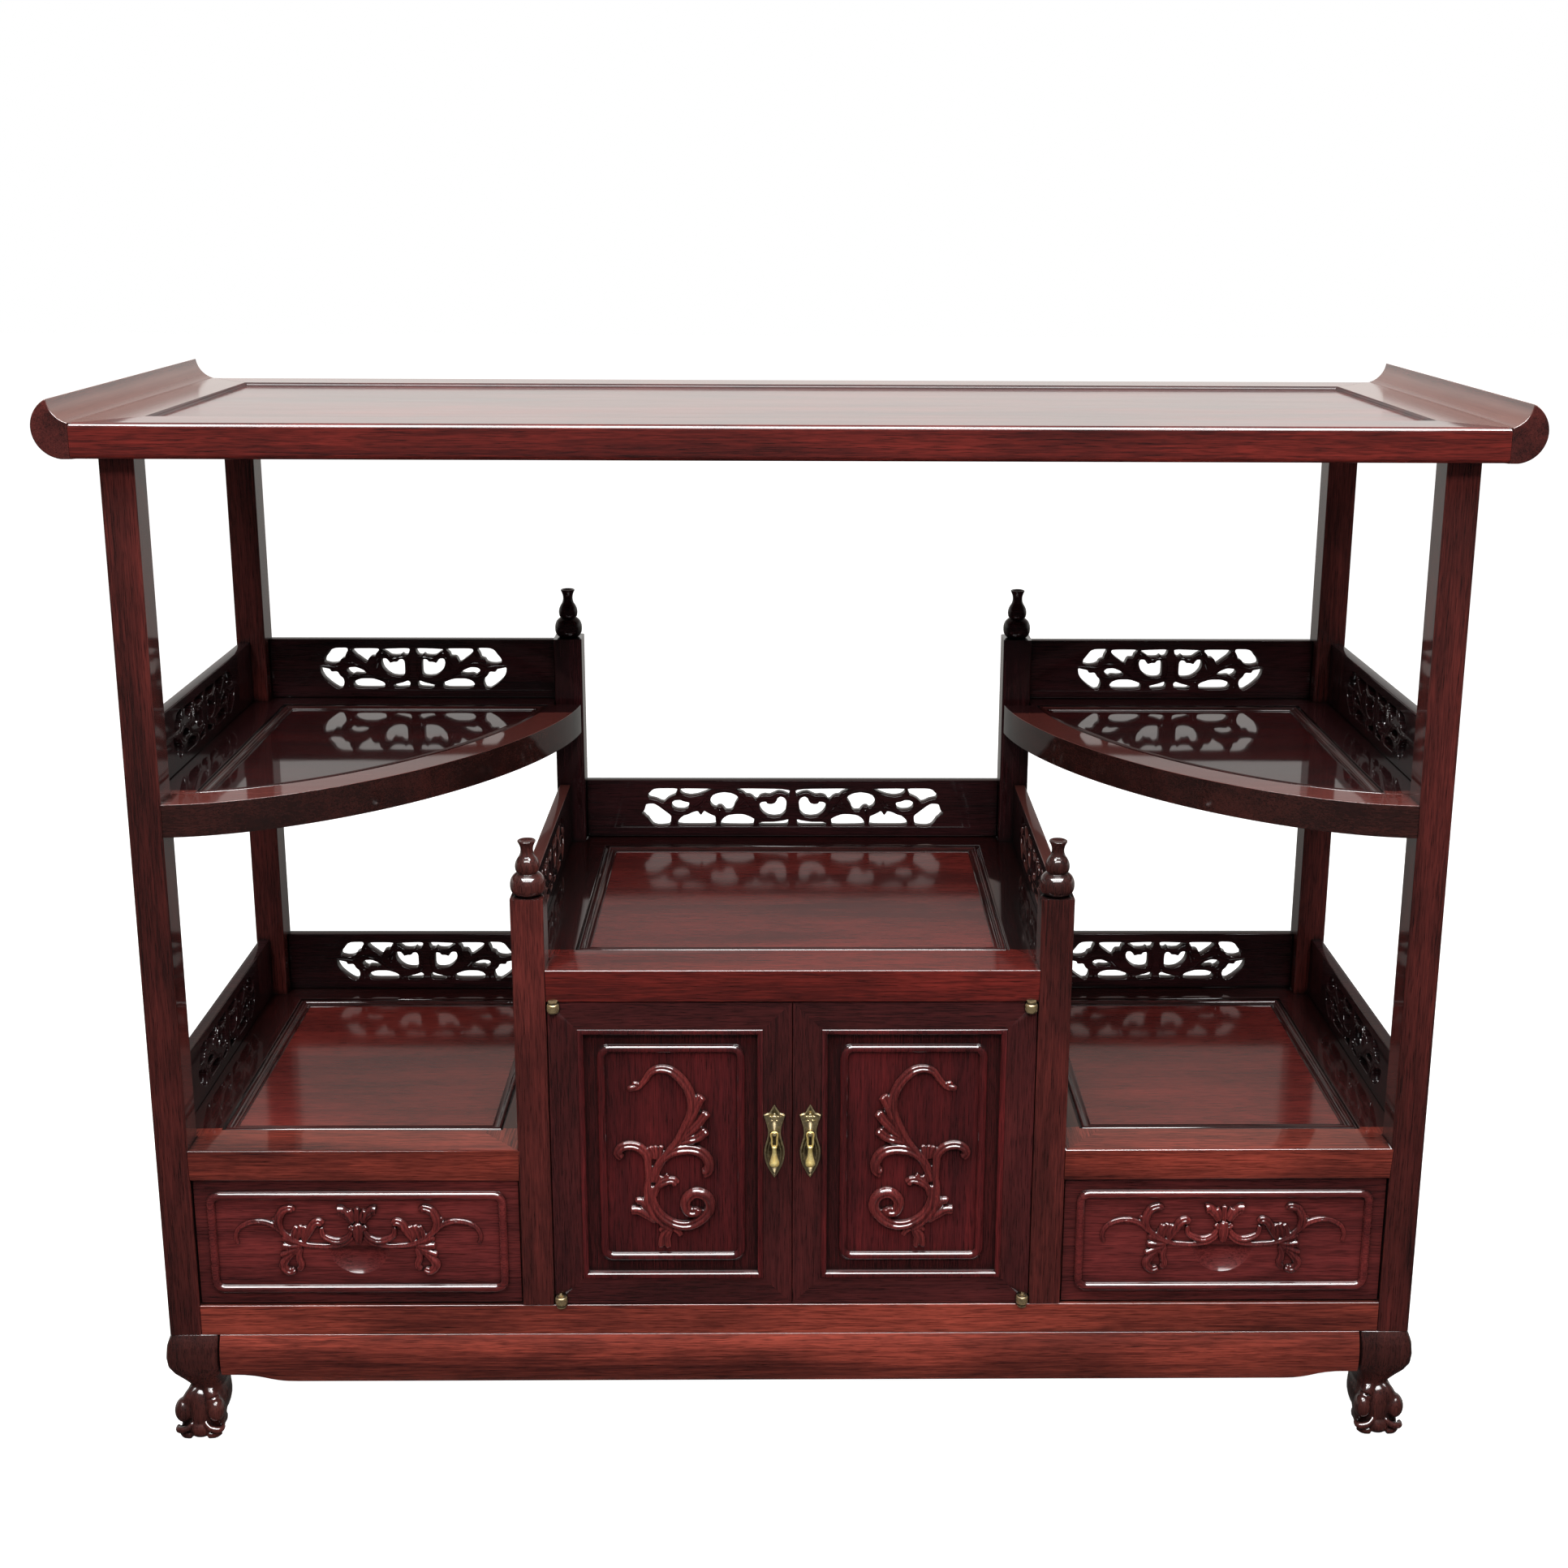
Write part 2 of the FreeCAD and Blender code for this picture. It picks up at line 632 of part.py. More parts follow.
def pierced_board(length, fret_length, hole_shares):
    """A gallery board lying along +X from the origin, its face towards -Y, pierced in the middle."""
    height, thick, fret_height = cell("gallery_height"), cell("gallery_thick"), cell("fret_height")
    middle, low = length / 2, (height - fret_height) / 2
    board = Part.makeBox(length, thick, height)
    holes = []
    for outline in hole_shares:
        for mirror in (-1, 1):
            corners = [FreeCAD.Vector(middle + mirror * along * fret_length / 2, 0, low + up * fret_height)
                       for along, up in outline]
            holes.append(Part.Face(rounded_outline(corners)).extrude(Y * thick))
    return board.cut(Part.makeCompound(holes))


def place_board(board, label, corner, along_y=False):
    """Sets a board down by its lowest corner, turned to run along Y when asked."""
    piece = feature(label, board)
    turn = FreeCAD.Rotation(Z, 90) if along_y else FreeCAD.Rotation()
    x = corner[0] + cell("gallery_thick") if along_y else corner[0]
    piece.Placement = FreeCAD.Placement(FreeCAD.Vector(x, corner[1], corner[2]), turn)
    return piece


def make_galleries():
    """Pierced boards stand on each shelf between the posts, along its back and its open sides."""
    inner, bay, post = cell("inner_face"), cell("bay_outer"), cell("post")
    bay_half, half, thick = cell("bay_half"), cell("half_width"), cell("gallery_thick")
    set_back, back_y, front_y = cell("set_back"), cell("gallery_back"), cell("front_face") + post
    short = pierced_board(cell("side_bay"), cell("short_fret_length"), SHORT_FRET_SHARES)
    between = pierced_board(cell("between_posts"), cell("short_fret_length"), SHORT_FRET_SHARES)
    middle = pierced_board(cell("bay_width"), cell("long_fret_length"), LONG_FRET_SHARES)
    middle_sides = []
    for side_name, side in SIDES.items():
        outer_x = half - set_back - thick if side > 0 else -half + set_back
        for shelf, level in (("fan", cell("fan_top")), ("lower", cell("lower_top"))):
            name = "%s_%s_gallery" % (side_name, shelf)
            back = place_board(short, name + "_back", (bay if side > 0 else -inner, back_y, level))
            side_board = place_board(between, name + "_side", (outer_x, front_y, level), along_y=True)
            group(name, [back, side_board])
        side_x = bay - set_back - thick if side > 0 else -bay + set_back
        level = cell("middle_top")
        label = "middle_%s_gallery" % side_name
        middle_sides.append(place_board(between, label, (side_x, front_y, level), along_y=True))
    group("middle_side_galleries", middle_sides)
    nodes.append(place_board(middle, "middle_back_gallery", (-bay_half, back_y, cell("middle_top"))))


def turned(outline, centre):
    """A solid turned round an upright line through centre; outline is radius and height pairs, foot first."""
    points = [FreeCAD.Vector(radius, 0, height) for radius, height in outline]
    curve = Part.BSplineCurve()
    curve.interpolate(points)
    axis_low, axis_high = FreeCAD.Vector(0, 0, points[0].z), FreeCAD.Vector(0, 0, points[-1].z)
    edges = [curve.toShape(), Part.LineSegment(axis_high, axis_low).toShape()]
    if points[0].x > 0:
        edges.insert(0, Part.LineSegment(axis_low, points[0]).toShape())
    if points[-1].x > 0:
        edges.insert(-1, Part.LineSegment(points[-1], axis_high).toShape())
    solid = Part.Face(Part.Wire(edges)).revolve(FreeCAD.Vector(), Z, 360)
    solid.translate(centre)
    return solid


def make_finial(label, centre, radius):
    """A double gourd: a wide bulb, a smaller one with a flared neck above it, and a dowel below."""
    height = cell("finial_height")
    joint = [n for n, (across, up) in enumerate(FINIAL_SHARES) if up == FINIAL_JOINT_SHARE][0]
    rows = [(across * radius, up * height) for across, up in FINIAL_SHARES]
    solid = turned(rows[:joint + 1], centre).fuse(turned(rows[joint:], centre))
    dowel = Part.makeCylinder(cell("dowel_radius"), cell("dowel_length"), centre, -Z)
    nodes.append(feature(label, one_solid(solid.fuse(dowel))))


def make_finials():
    middle_x = cell("bay_half") + cell("post") / 2
    for side_name, side in SIDES.items():
        front_y = cell("front_face") + cell("post") / 2
        back_y = cell("back_face") - cell("post") / 2
        above = cell("gallery_height") + cell("post_above_gallery")
        front = FreeCAD.Vector(side * middle_x, front_y, cell("middle_top") + above)
        back = FreeCAD.Vector(side * middle_x, back_y, cell("fan_top") + above)
        make_finial("front_%s_finial" % side_name, front, cell("front_bulb_radius"))
        make_finial("back_%s_finial" % side_name, back, cell("back_bulb_radius"))


def make_carcass():
    """The bottom frame carries a board, the cabinet's walls and the drawers' runners."""
    low_y, deep = "front_face + post", "between_posts"
    rails = [
        plain_block("bottom_front_rail", ("-inner_face", "front_face", "base_height"),
                    ("2 * inner_face", "post", "rail_thick")),
        plain_block("bottom_back_rail", ("-inner_face", "back_face - post", "base_height"),
                    ("2 * inner_face", "post", "rail_thick")),
    ]
    for side_name, side in SIDES.items():
        cut_hinge_seat(rails[0], side, "bottom_rail_top")
        x = edge_of(side, "inner_face", "half_width - set_back")
        rails.append(plain_block("bottom_%s_rail" % side_name, (x, low_y, "base_height"),
                                 ("post - set_back", deep, "rail_thick")))
    group("bottom_frame", rails)
    nodes.append(plain_block("bottom_board", ("-inner_face", low_y, "floor_top - board"),
                             ("2 * inner_face", deep, "board")))

    walls, partitions, runners = [], [], []
    for side_name, side in SIDES.items():
        x = edge_of(side, "half_width - 2 * set_back - board", "half_width - 2 * set_back")
        wall_size = ("board", deep, "lower_under - bottom_rail_top")
        walls.append(plain_block(side_name + "_wall", (x, low_y, "bottom_rail_top"), wall_size))
        x = edge_of(side, "bay_outer - board", "bay_outer")
        partition_size = ("board", deep, "middle_under - floor_top")
        partitions.append(plain_block(side_name + "_partition", (x, low_y, "floor_top"), partition_size))
        for place, near in (("outer", "inner_face - runner_width"), ("inner", "bay_outer")):
            x = edge_of(side, near, near + " + runner_width")
            runners.append(plain_block("%s_%s_runner" % (side_name, place), (x, low_y, "floor_top"),
                                       ("runner_width", deep, "runner_height")))
    group("side_walls", walls)
    group("partitions", partitions)
    group("drawer_runners", runners)

    boards = [plain_block("middle_back_board", ("-bay_half", "back_board_front", "bottom_rail_top"),
                          ("bay_width", "back_board", "middle_under - bottom_rail_top"))]
    for side_name, side in SIDES.items():
        x = edge_of(side, "bay_outer", "inner_face")
        boards.append(plain_block(side_name + "_back_board", (x, "back_board_front", "bottom_rail_top"),
                                  ("side_bay", "back_board", "lower_under - bottom_rail_top")))
    group("back_boards", boards)


def bead_ring(body, corner, size, face):
    """A raised bead with rounded corners on a board whose own front is at face."""
    front = "%s - bead_height" % face
    outer = add_block(body, (corner[0], front, corner[2]), (size[0], "bead_height", size[2]))
    doc.recompute()
    low, high = outer.Placement.Base, outer.Placement.Base + FreeCAD.Vector(outer.Length, 0, outer.Height)

    def at_corner(edge):
        place = edge.CenterOfMass
        near_x = min(abs(place.x - low.x), abs(place.x - high.x)) < 0.01
        return runs_along(edge, Y) and near_x and min(abs(place.z - low.z), abs(place.z - high.z)) < 0.01

    round_edges(body, "bead_corner", at_corner)
    inner, inner_size = grown(corner, size, "-bead_width", (0, 2))
    add_block(body, (inner[0], front, inner[2]), (inner_size[0], "bead_height", inner_size[2]), cut=True)


def make_door(side_name, side):
    """Two stiles and two rails, mitred, hold a sunk panel with a raised bead."""
    name = side_name + "_door"
    x = edge_of(side, "meeting_gap / 2", "meeting_gap / 2 + door_width")
    low = (x, "door_face", "door_bottom")
    corner = (x + " + stile", "door_face + door_panel_drop", "door_bottom + stile")
    size = ("door_width - 2 * stile", "door_panel_thick", "door_height - 2 * stile")
    tongue_low = "%s + (door_panel_thick - tongue_thick) / 2" % corner[1]
    groove = grown((corner[0], tongue_low + " - tongue_gap", corner[2]),
                   (size[0], "tongue_thick + 2 * tongue_gap", size[2]), "tongue + tongue_gap", (0, 2))
    members = mitred_frame(name + "_frame", low, ("door_width", "door_height"), ("stile",) * 4, "door_thick",
                           upright=True, groove=groove)
    outer, meeting = (members[0], members[1]) if side < 0 else (members[1], members[0])
    notch_x = "%s door_pivot" % ("-" if side < 0 else "")
    for body, levels in ((outer, ("lower", "upper")), (members[2], ("lower",)), (members[3], ("upper",))):
        for level in levels:
            cut_knuckle_notch(body, notch_x, level)
    relief_x = edge_of(side, "meeting_gap / 2", "meeting_gap / 2 + meeting_relief")
    add_block(meeting, (relief_x, "door_face + meeting_land", "door_bottom"),
              ("meeting_relief", "door_thick - meeting_land", "door_height"), cut=True)
    group(name + "_frame", members)
    panel = new_body(name + "_panel")
    add_block(panel, corner, size)
    tongue = grown((corner[0], tongue_low, corner[2]), (size[0], "tongue_thick", size[2]), "tongue", (0, 2))
    add_block(panel, *tongue)
    bead_corner, bead_size = grown(corner, size, "-door_bead_margin", (0, 2))
    bead_ring(panel, bead_corner, bead_size, corner[1])
    nodes.append(panel)


def cut_knuckle_notch(body, x, level):
    """Room in a door's corner for the hinge's knuckle."""
    notch = body.newObject("PartDesign::SubtractiveCylinder", body.Name + "_notch")
    bind(notch, Radius="pivot_radius + pivot_notch_gap", Height="pivot_height + pivot_notch_gap")
    high = "door_bottom + door_height - pivot_height - pivot_notch_gap"
    bind_base(notch, (x, "pivot_line", "door_bottom" if level == "lower" else high))


def make_hinges(side_name, side):
    """A brass knuckle sits in each outer corner of the door, and turns on a pin that stands on a plate
    let into the rail beyond it."""
    x, y = side * cell("door_pivot"), cell("pivot_line")
    radius, pin, gap = cell("pivot_radius"), cell("pivot_pin_radius"), cell("door_gap")
    plate_thick, plate_half = cell("pivot_plate_thick"), cell("pivot_plate_width") / 2
    plate_back = cell("front_face") + cell("pivot_plate_length")
    low, high = cell("door_bottom"), cell("door_bottom") + cell("door_height")
    knuckles = []
    for place, start, inward in (("lower", low, Z), ("upper", high, -Z)):
        base = FreeCAD.Vector(x, y, start)
        bore = Part.makeCylinder(pin + cell("pivot_pin_gap"), cell("pivot_height"), base, inward)
        knuckle = Part.makeCylinder(radius, cell("pivot_height"), base, inward).cut(bore)
        knuckles.append(feature("%s_%s_knuckle" % (side_name, place), knuckle))
        seat = base - inward * (gap + plate_thick)
        flat = min(seat.z, seat.z + inward.z * plate_thick)
        corner = FreeCAD.Vector(x - plate_half, y, flat)
        plate = Part.makeBox(2 * plate_half, plate_back - y, plate_thick, corner)
        plate = plate.fuse(Part.makeCylinder(plate_half, plate_thick, seat, inward))
        plate = plate.fuse(Part.makeCylinder(pin, plate_thick + gap + cell("pivot_pin_length"), seat, inward))
        hinge_plates.append(feature("%s_%s_hinge_plate" % (side_name, place), one_solid(plate)))
    group(side_name + "_door_knuckles", knuckles)


def make_pull_plate(side_name, side):
    """A star-topped brass plate with two ears that hold a pin."""
    x, face = side * cell("pull_from_edge"), cell("door_face")
    thick, height, half = cell("pull_plate_thick"), cell("pull_height"), cell("pull_width") / 2
    low = cell("base_height") + cell("pull_centre_rise") - height / 2
    rows = [(across, up) for across, up in PLATE_SHARES]
    rows += [(-across, up) for across, up in PLATE_SHARES[-2:0:-1]]
    corners = [FreeCAD.Vector(x + across * half, face, low + up * height) for across, up in rows]
    plate = Part.Face(Part.makePolygon(corners + corners[:1])).extrude(-Y * thick)
    centre = pull_pin_centre(side)
    ear_radius, ear = cell("pull_ear_radius"), cell("pull_ear_width")
    reach = cell("pull_eye_width") / 2 + cell("pull_side_gap") + ear
    for start in (-reach, reach - ear):
        base = centre + X * start
        arm = Part.makeBox(ear, face - thick - centre.y, 2 * ear_radius, base - Z * ear_radius)
        plate = plate.fuse(Part.makeCylinder(ear_radius, ear, base, X)).fuse(arm)
    plate = plate.fuse(Part.makeCylinder(cell("pull_pin_radius"), 2 * reach, centre - X * reach, X))
    nodes.append(feature(side_name + "_pull_plate", one_solid(plate)))


def pull_pin_centre(side):
    y = cell("door_face") - cell("pull_plate_thick") - cell("pull_pin_out")
    z = cell("base_height") + cell("pull_centre_rise") + cell("pull_pin_above")
    return FreeCAD.Vector(side * cell("pull_from_edge"), y, z)


def make_pull_drop(side_name, side):
    """A brass drop: an eye round the plate's pin, a slim neck and a bulb."""
    centre = pull_pin_centre(side)
    length, bulb, eye = cell("pull_drop_length"), cell("pull_bulb_radius"), cell("pull_eye_width")
    rows = [(across * bulb, -down * length) for across, down in reversed(DROP_SHARES)]
    neck_radius, neck_length = rows[-1][0], -rows[-1][1]
    drop = turned(rows, centre).fuse(Part.makeCylinder(neck_radius, neck_length, centre, -Z))
    start = centre - X * eye / 2
    drop = drop.fuse(Part.makeCylinder(cell("pull_ear_radius"), eye, start, X))
    hole = Part.makeCylinder(cell("pull_pin_radius") + cell("pull_eye_gap"), eye, start, X)
    nodes.append(feature(side_name + "_pull_drop", one_solid(drop.cut(hole))))


def make_doors():
    for side_name, side in SIDES.items():
        make_door(side_name, side)
        make_hinges(side_name, side)
        make_pull_plate(side_name, side)
        make_pull_drop(side_name, side)
    group("hinge_plates", hinge_plates)


def make_drawers():
    """Each front has a bead and a scooped recess for the fingers; the box runs on strips beside it."""
    for side_name, side in SIDES.items():
        name = side_name + "_drawer"
        x = edge_of(side, "bay_outer + drawer_gap", "inner_face - drawer_gap")
        z = "bottom_rail_top + drawer_gap"
        face = "door_face + bead_height"
        front = new_body(name + "_front")
        add_block(front, (x, face, z), ("drawer_width", "drawer_front_thick - bead_height", "drawer_height"))
        corner, size = grown((x, face, z), ("drawer_width", "bead_height", "drawer_height"),
                             "-drawer_bead_margin", (0, 2))
        bead_ring(front, corner, size, face)
        scoop = front.newObject("PartDesign::SubtractiveSphere", front.Name + "_scoop")
        scoop.Angle1, scoop.Angle2 = -90, 0
        bind(scoop, Radius="scoop_radius")
        middle = "%s drawer_middle" % ("-" if side < 0 else "")
        bind_base(scoop, (middle, face + " + scoop_depth - scoop_radius", "scoop_top"))
        nodes.append(front)

        start, low = "drawer_back_of_front", "side_bottom"
        left = edge_of(side, "bay_outer + drawer_side_gap", "inner_face - drawer_side_gap")
        inside = "drawer_box_width - 2 * drawer_wall"
        parts = [
            ("left_side", (left, start, low), ("drawer_wall", "drawer_length", "drawer_side_height")),
            ("right_side", (left + " + drawer_box_width - drawer_wall", start, low),
             ("drawer_wall", "drawer_length", "drawer_side_height")),
            ("end", (left + " + drawer_wall", start + " + drawer_length - drawer_wall", low),
             (inside, "drawer_wall", "drawer_side_height")),
            ("bottom", (left + " + drawer_wall", start, low + " + drawer_floor_up"),
             (inside, "drawer_length - drawer_wall", "drawer_floor")),
        ]
        group(name + "_box", [plain_block("%s_%s" % (name, part), place, size) for part, place, size in parts])


def section_wire(x_span, y_span, level, rounding):
    """A level square with rounded corners."""
    (x0, x1), (y0, y1) = sorted(x_span), sorted(y_span)
    radius = rounding * (x1 - x0)
    diagonal = radius * (1 - math.sqrt(0.5))

    def at(x, y):
        return FreeCAD.Vector(x, y, level)

    edges = []
    corners = [(x0, y0, 1, 1), (x1, y0, -1, 1), (x1, y1, -1, -1), (x0, y1, 1, -1)]
    for index, (x, y, right, up) in enumerate(corners):
        ends = [at(x, y + up * radius), at(x + right * radius, y)]
        if index % 2:
            ends.reverse()
        edges.append(Part.Arc(ends[0], at(x + right * diagonal, y + up * diagonal), ends[1]).toShape())
    joined = []
    for index, arc in enumerate(edges):
        following = edges[(index + 1) % len(edges)]
        joined += [arc, Part.LineSegment(arc.Vertexes[-1].Point, following.Vertexes[0].Point).toShape()]
    return Part.Wire(joined)


def make_legs():
    """A swelling knee under each corner of the carcass narrows to an ankle and spreads into a foot."""
    height, width, reach = cell("base_height"), cell("knee_width"), cell("knee_reach")
    for side_name, side in SIDES.items():
        for place, out, face in (("front", -1, cell("front_face")), ("back", 1, cell("back_face"))):
            corner_x = side * cell("half_width")
            wires = []
            for up, inner, outer, rounding in LEG_SHARES:
                x_span = (corner_x + side * inner * width, corner_x + side * outer * reach)
                y_span = (face + out * inner * width, face + out * outer * reach)
                wires.append(section_wire(x_span, y_span, up * height, rounding))
            leg = Part.makeLoft(wires, True, False)
            x_low = min(corner_x - side * width, corner_x + side * reach)
            y_low = min(face - out * width, face + out * reach)
            room = Part.makeBox(width + reach, width + reach, height, FreeCAD.Vector(x_low, y_low, 0))
            nodes.append(feature("%s_%s_leg" % (place, side_name), one_solid(leg.common(room))))


def apron(length):
    """A board that swells outwards, its lower edge lifted in an ogee at both ends."""
    height, thick = cell("apron_height"), cell("apron_thick")
    top, bottom = FreeCAD.Vector(0, 0, height), FreeCAD.Vector(0, cell("apron_tuck"), 0)
    belly = FreeCAD.Vector(0, -cell("apron_bulge"), height / 2)
    inner_low, inner_high = FreeCAD.Vector(0, thick, 0), FreeCAD.Vector(0, thick, height)
    edges = [
        Part.Arc(top, belly, bottom).toShape(),
        Part.LineSegment(bottom, inner_low).toShape(),
        Part.LineSegment(inner_low, inner_high).toShape(),
        Part.LineSegment(inner_high, top).toShape(),
    ]
    board = Part.Face(Part.Wire(edges)).extrude(X * length)
    lift, flat, end = cell("apron_lift"), cell("apron_lift_end"), cell("apron_lift_start")
    front = -2 * cell("apron_bulge")
    for start, way in ((0, 1), (length, -1)):
        def at(along, up):
            return FreeCAD.Vector(start + way * along, front, up)

        ogee = Part.BezierCurve()
        ogee.setPoles([at(flat, lift), at((flat + end) / 2, lift), at((flat + end) / 2, 0), at(end, 0)])
        outline = [
            Part.LineSegment(at(0, 0), at(0, lift)).toShape(),
            Part.LineSegment(at(0, lift), at(flat, lift)).toShape(),
            ogee.toShape(),
            Part.LineSegment(at(end, 0), at(0, 0)).toShape(),
        ]
        board = board.cut(Part.Face(Part.Wire(outline)).extrude(Y * (thick - front)))
    return one_solid(board)


def make_aprons():
    """Four aprons run between the legs, their tops against the bottom frame."""
    half, knee = cell("half_width"), cell("knee_width")
    front, back = cell("front_face"), cell("back_face")
    low = cell("base_height") - cell("apron_height")
    long_board, short_board = apron(2 * (half - knee)), apron(back - front - 2 * knee)
    places = (
        ("front_apron", long_board, (knee - half, front), 0),
        ("right_apron", short_board, (half, front + knee), 90),
        ("back_apron", long_board, (half - knee, back), 180),
        ("left_apron", short_board, (-half, back - knee), -90),
    )
    pieces = []
    for label, board, base, turn in places:
        piece = feature(label, board)
        piece.Placement = FreeCAD.Placement(FreeCAD.Vector(base[0], base[1], low), FreeCAD.Rotation(Z, turn))
        pieces.append(piece)
    group("aprons", pieces)


hinge_plates = []
for make in (make_posts, make_top, make_shelves, make_galleries, make_finials, make_carcass, make_doors,
             make_drawers, make_legs, make_aprons):
    make()
doc.recompute()

failed = [thing.Label for thing in doc.Objects if {"Invalid", "Error"} & set(thing.State)]
broken = [node.Label for node in nodes if node.Shape.isNull() or not node.Shape.isValid()]
if failed or broken:
    raise SystemExit("failed: %s, broken: %s" % (failed, broken))

os.makedirs("parts", exist_ok=True)
for node in nodes:
    node.Shape.exportStep("parts/%s.step" % node.Label)
print(len(nodes), "pieces written")
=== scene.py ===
# %% [markdown]
# # A stepped display cabinet in lacquered rosewood
#
# The real cabinet is an open frame of square posts under a long top with scroll ends. It carries
# two quarter-round shelves, a middle cupboard with a pair of carved doors, and a drawer on each
# side, all on short claw feet. This lesson dresses its solid model for a studio picture: first the
# camera and light, then the finishes, then each carved, turned or moulded piece.

# %% The solid model
import math

import bpy
from mathutils import Matrix, Vector


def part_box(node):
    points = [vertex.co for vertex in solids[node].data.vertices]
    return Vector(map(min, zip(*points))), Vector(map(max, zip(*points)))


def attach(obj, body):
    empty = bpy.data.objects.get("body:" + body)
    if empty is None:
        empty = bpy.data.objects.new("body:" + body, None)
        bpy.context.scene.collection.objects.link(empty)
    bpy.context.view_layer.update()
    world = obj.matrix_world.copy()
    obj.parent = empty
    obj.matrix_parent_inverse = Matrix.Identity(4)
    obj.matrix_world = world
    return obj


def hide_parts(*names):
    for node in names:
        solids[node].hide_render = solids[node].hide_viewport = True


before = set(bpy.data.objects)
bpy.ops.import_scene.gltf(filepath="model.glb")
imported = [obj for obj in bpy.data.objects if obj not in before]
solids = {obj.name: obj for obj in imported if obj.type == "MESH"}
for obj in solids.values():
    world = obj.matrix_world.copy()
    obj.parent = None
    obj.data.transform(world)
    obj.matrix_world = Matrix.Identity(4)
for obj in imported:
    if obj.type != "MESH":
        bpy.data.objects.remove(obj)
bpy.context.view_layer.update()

MM = 0.001
ORIGIN, Y, Z = Vector((0, 0, 0)), Vector((0, 1, 0)), Vector((0, 0, 1))
SIDES = (("left", -1), ("right", 1))

# %% [markdown]
# ## The camera
#
# The photograph was taken from a little above the top of the cabinet, looking slightly down. Its
# camera was found by fitting straight edges of the real object, so these values are its place, its
# three turns and the lens. A small shift stands for the crop of the picture. It could be framed by
# eye, but then no edge would line up.

# %% Camera
CAMERA_PLACE = Vector((-1.6, -1689.8, 1084.2)) * MM
CAMERA_TURN, CAMERA_DIP, CAMERA_LEAN = -0.01433, -0.23433, -0.00508
LENS, SENSOR = 43.98, 36.0
CAMERA_SHIFT = (-0.0217, -0.0815)

camera_data = bpy.data.cameras.new("view")
camera_data.lens, camera_data.sensor_width = LENS, SENSOR
camera_data.shift_x, camera_data.shift_y = CAMERA_SHIFT
camera = bpy.data.objects.new("view", camera_data)
turn = (Matrix.Rotation(CAMERA_TURN, 3, "Z") @ Matrix.Rotation(CAMERA_DIP, 3, "X")
        @ Matrix.Rotation(CAMERA_LEAN, 3, "Y") @ Matrix.Rotation(math.pi / 2, 3, "X"))
camera.matrix_world = Matrix.Translation(CAMERA_PLACE) @ turn.to_4x4()
bpy.context.scene.collection.objects.link(camera)
bpy.context.scene.camera = camera
print("camera height above the floor:", round(camera.matrix_world.translation.z, 3))

# %% [markdown]
# ## Floor and light
#
# The cabinet stands in front of plain white, on a wide pale floor. Lacquer shows what is around
# it, so the light matters as much as the colour. A room that is white behind the cabinet and dim
# in front of it gives bright shelves and deep upright faces, as in the photograph. Wide soft boxes
# high in front make the highlights that every round knob shows there. One of them shows only in
# reflections, and a weak fill from the front keeps the lower fronts from going black.

# %% Floor
FLOOR_HALF, FLOOR_GREY, FLOOR_ROUGH = 14.0, 0.45, 0.9
WHITE = (1, 1, 1, 1)


def mesh_object(name, verts, faces, material, smooth=False):
    mesh = bpy.data.meshes.new(name)
    mesh.from_pydata([tuple(v) for v in verts], [], faces)
    mesh.validate()
    piece = bpy.data.objects.new(name, mesh)
    bpy.context.scene.collection.objects.link(piece)
    mesh.materials.append(material)
    for face in mesh.polygons:
        face.use_smooth = smooth
    return piece


def new_material(name):
    material = bpy.data.materials.new(name)
    material.use_nodes = True
    tree = material.node_tree
    return material, tree, tree.nodes["Principled BSDF"]


def set_inputs(tree, node, values):
    """Sets a node's inputs: sockets are linked, plain values are set on the input itself."""
    for slot, value in values.items():
        if isinstance(value, bpy.types.NodeSocket):
            tree.links.new(value, node.inputs[slot])
        else:
            node.inputs[slot].default_value = value


def added(tree, kind, values, **settings):
    """A new shader node with its inputs and its settings."""
    node = tree.nodes.new("ShaderNode" + kind)
    for setting, value in settings.items():
        setattr(node, setting, value)
    set_inputs(tree, node, values)
    return node


def source(tree, kind, output):
    return tree.nodes.new("ShaderNode" + kind).outputs[output]


pale, tree, shader = new_material("studio_floor")
set_inputs(tree, shader, {
    "Base Color": (FLOOR_GREY, FLOOR_GREY, FLOOR_GREY, 1), "Roughness": FLOOR_ROUGH,
    "Specular IOR Level": 0.0, "Emission Color": WHITE,
    "Emission Strength": source(tree, "LightPath", "Is Camera Ray")})
floor_corners = [(across * FLOOR_HALF, deep * FLOOR_HALF, 0)
                 for across, deep in ((-1, -1), (1, -1), (1, 1), (-1, 1))]
floor = mesh_object("floor", floor_corners, [(0, 1, 2, 3)], pale)
floor.visible_glossy = False
print("floor:", 2 * FLOOR_HALF, "m wide")

# %% The room around it
bpy.context.scene.view_settings.view_transform = "Standard"
ROOM_IN_FRONT, FRONT_ENDS, BEHIND_STARTS = 0.03, -0.25, 0.45
# The room behind by height, from straight down to straight up: a dark floor, white at eye level,
# dimmer and warmer above. The higher and the lower shelves show different parts of it.
ROOM_BEHIND = [
    (-1.0, (0.05, 0.04, 0.04)), (-0.42, (0.10, 0.09, 0.085)), (-0.08, (0.55, 0.53, 0.50)),
    (0.0, (1.0, 0.97, 0.93)), (0.20, (0.90, 0.88, 0.85)), (0.30, (0.62, 0.60, 0.58)),
    (0.345, (0.34, 0.27, 0.26)), (0.41, (0.42, 0.36, 0.34)), (0.455, (0.60, 0.46, 0.40)),
    (0.52, (0.42, 0.34, 0.32)), (1.0, (0.20, 0.18, 0.17)),
]


def axes_of(tree, socket):
    return added(tree, "SeparateXYZ", {0: socket}).outputs


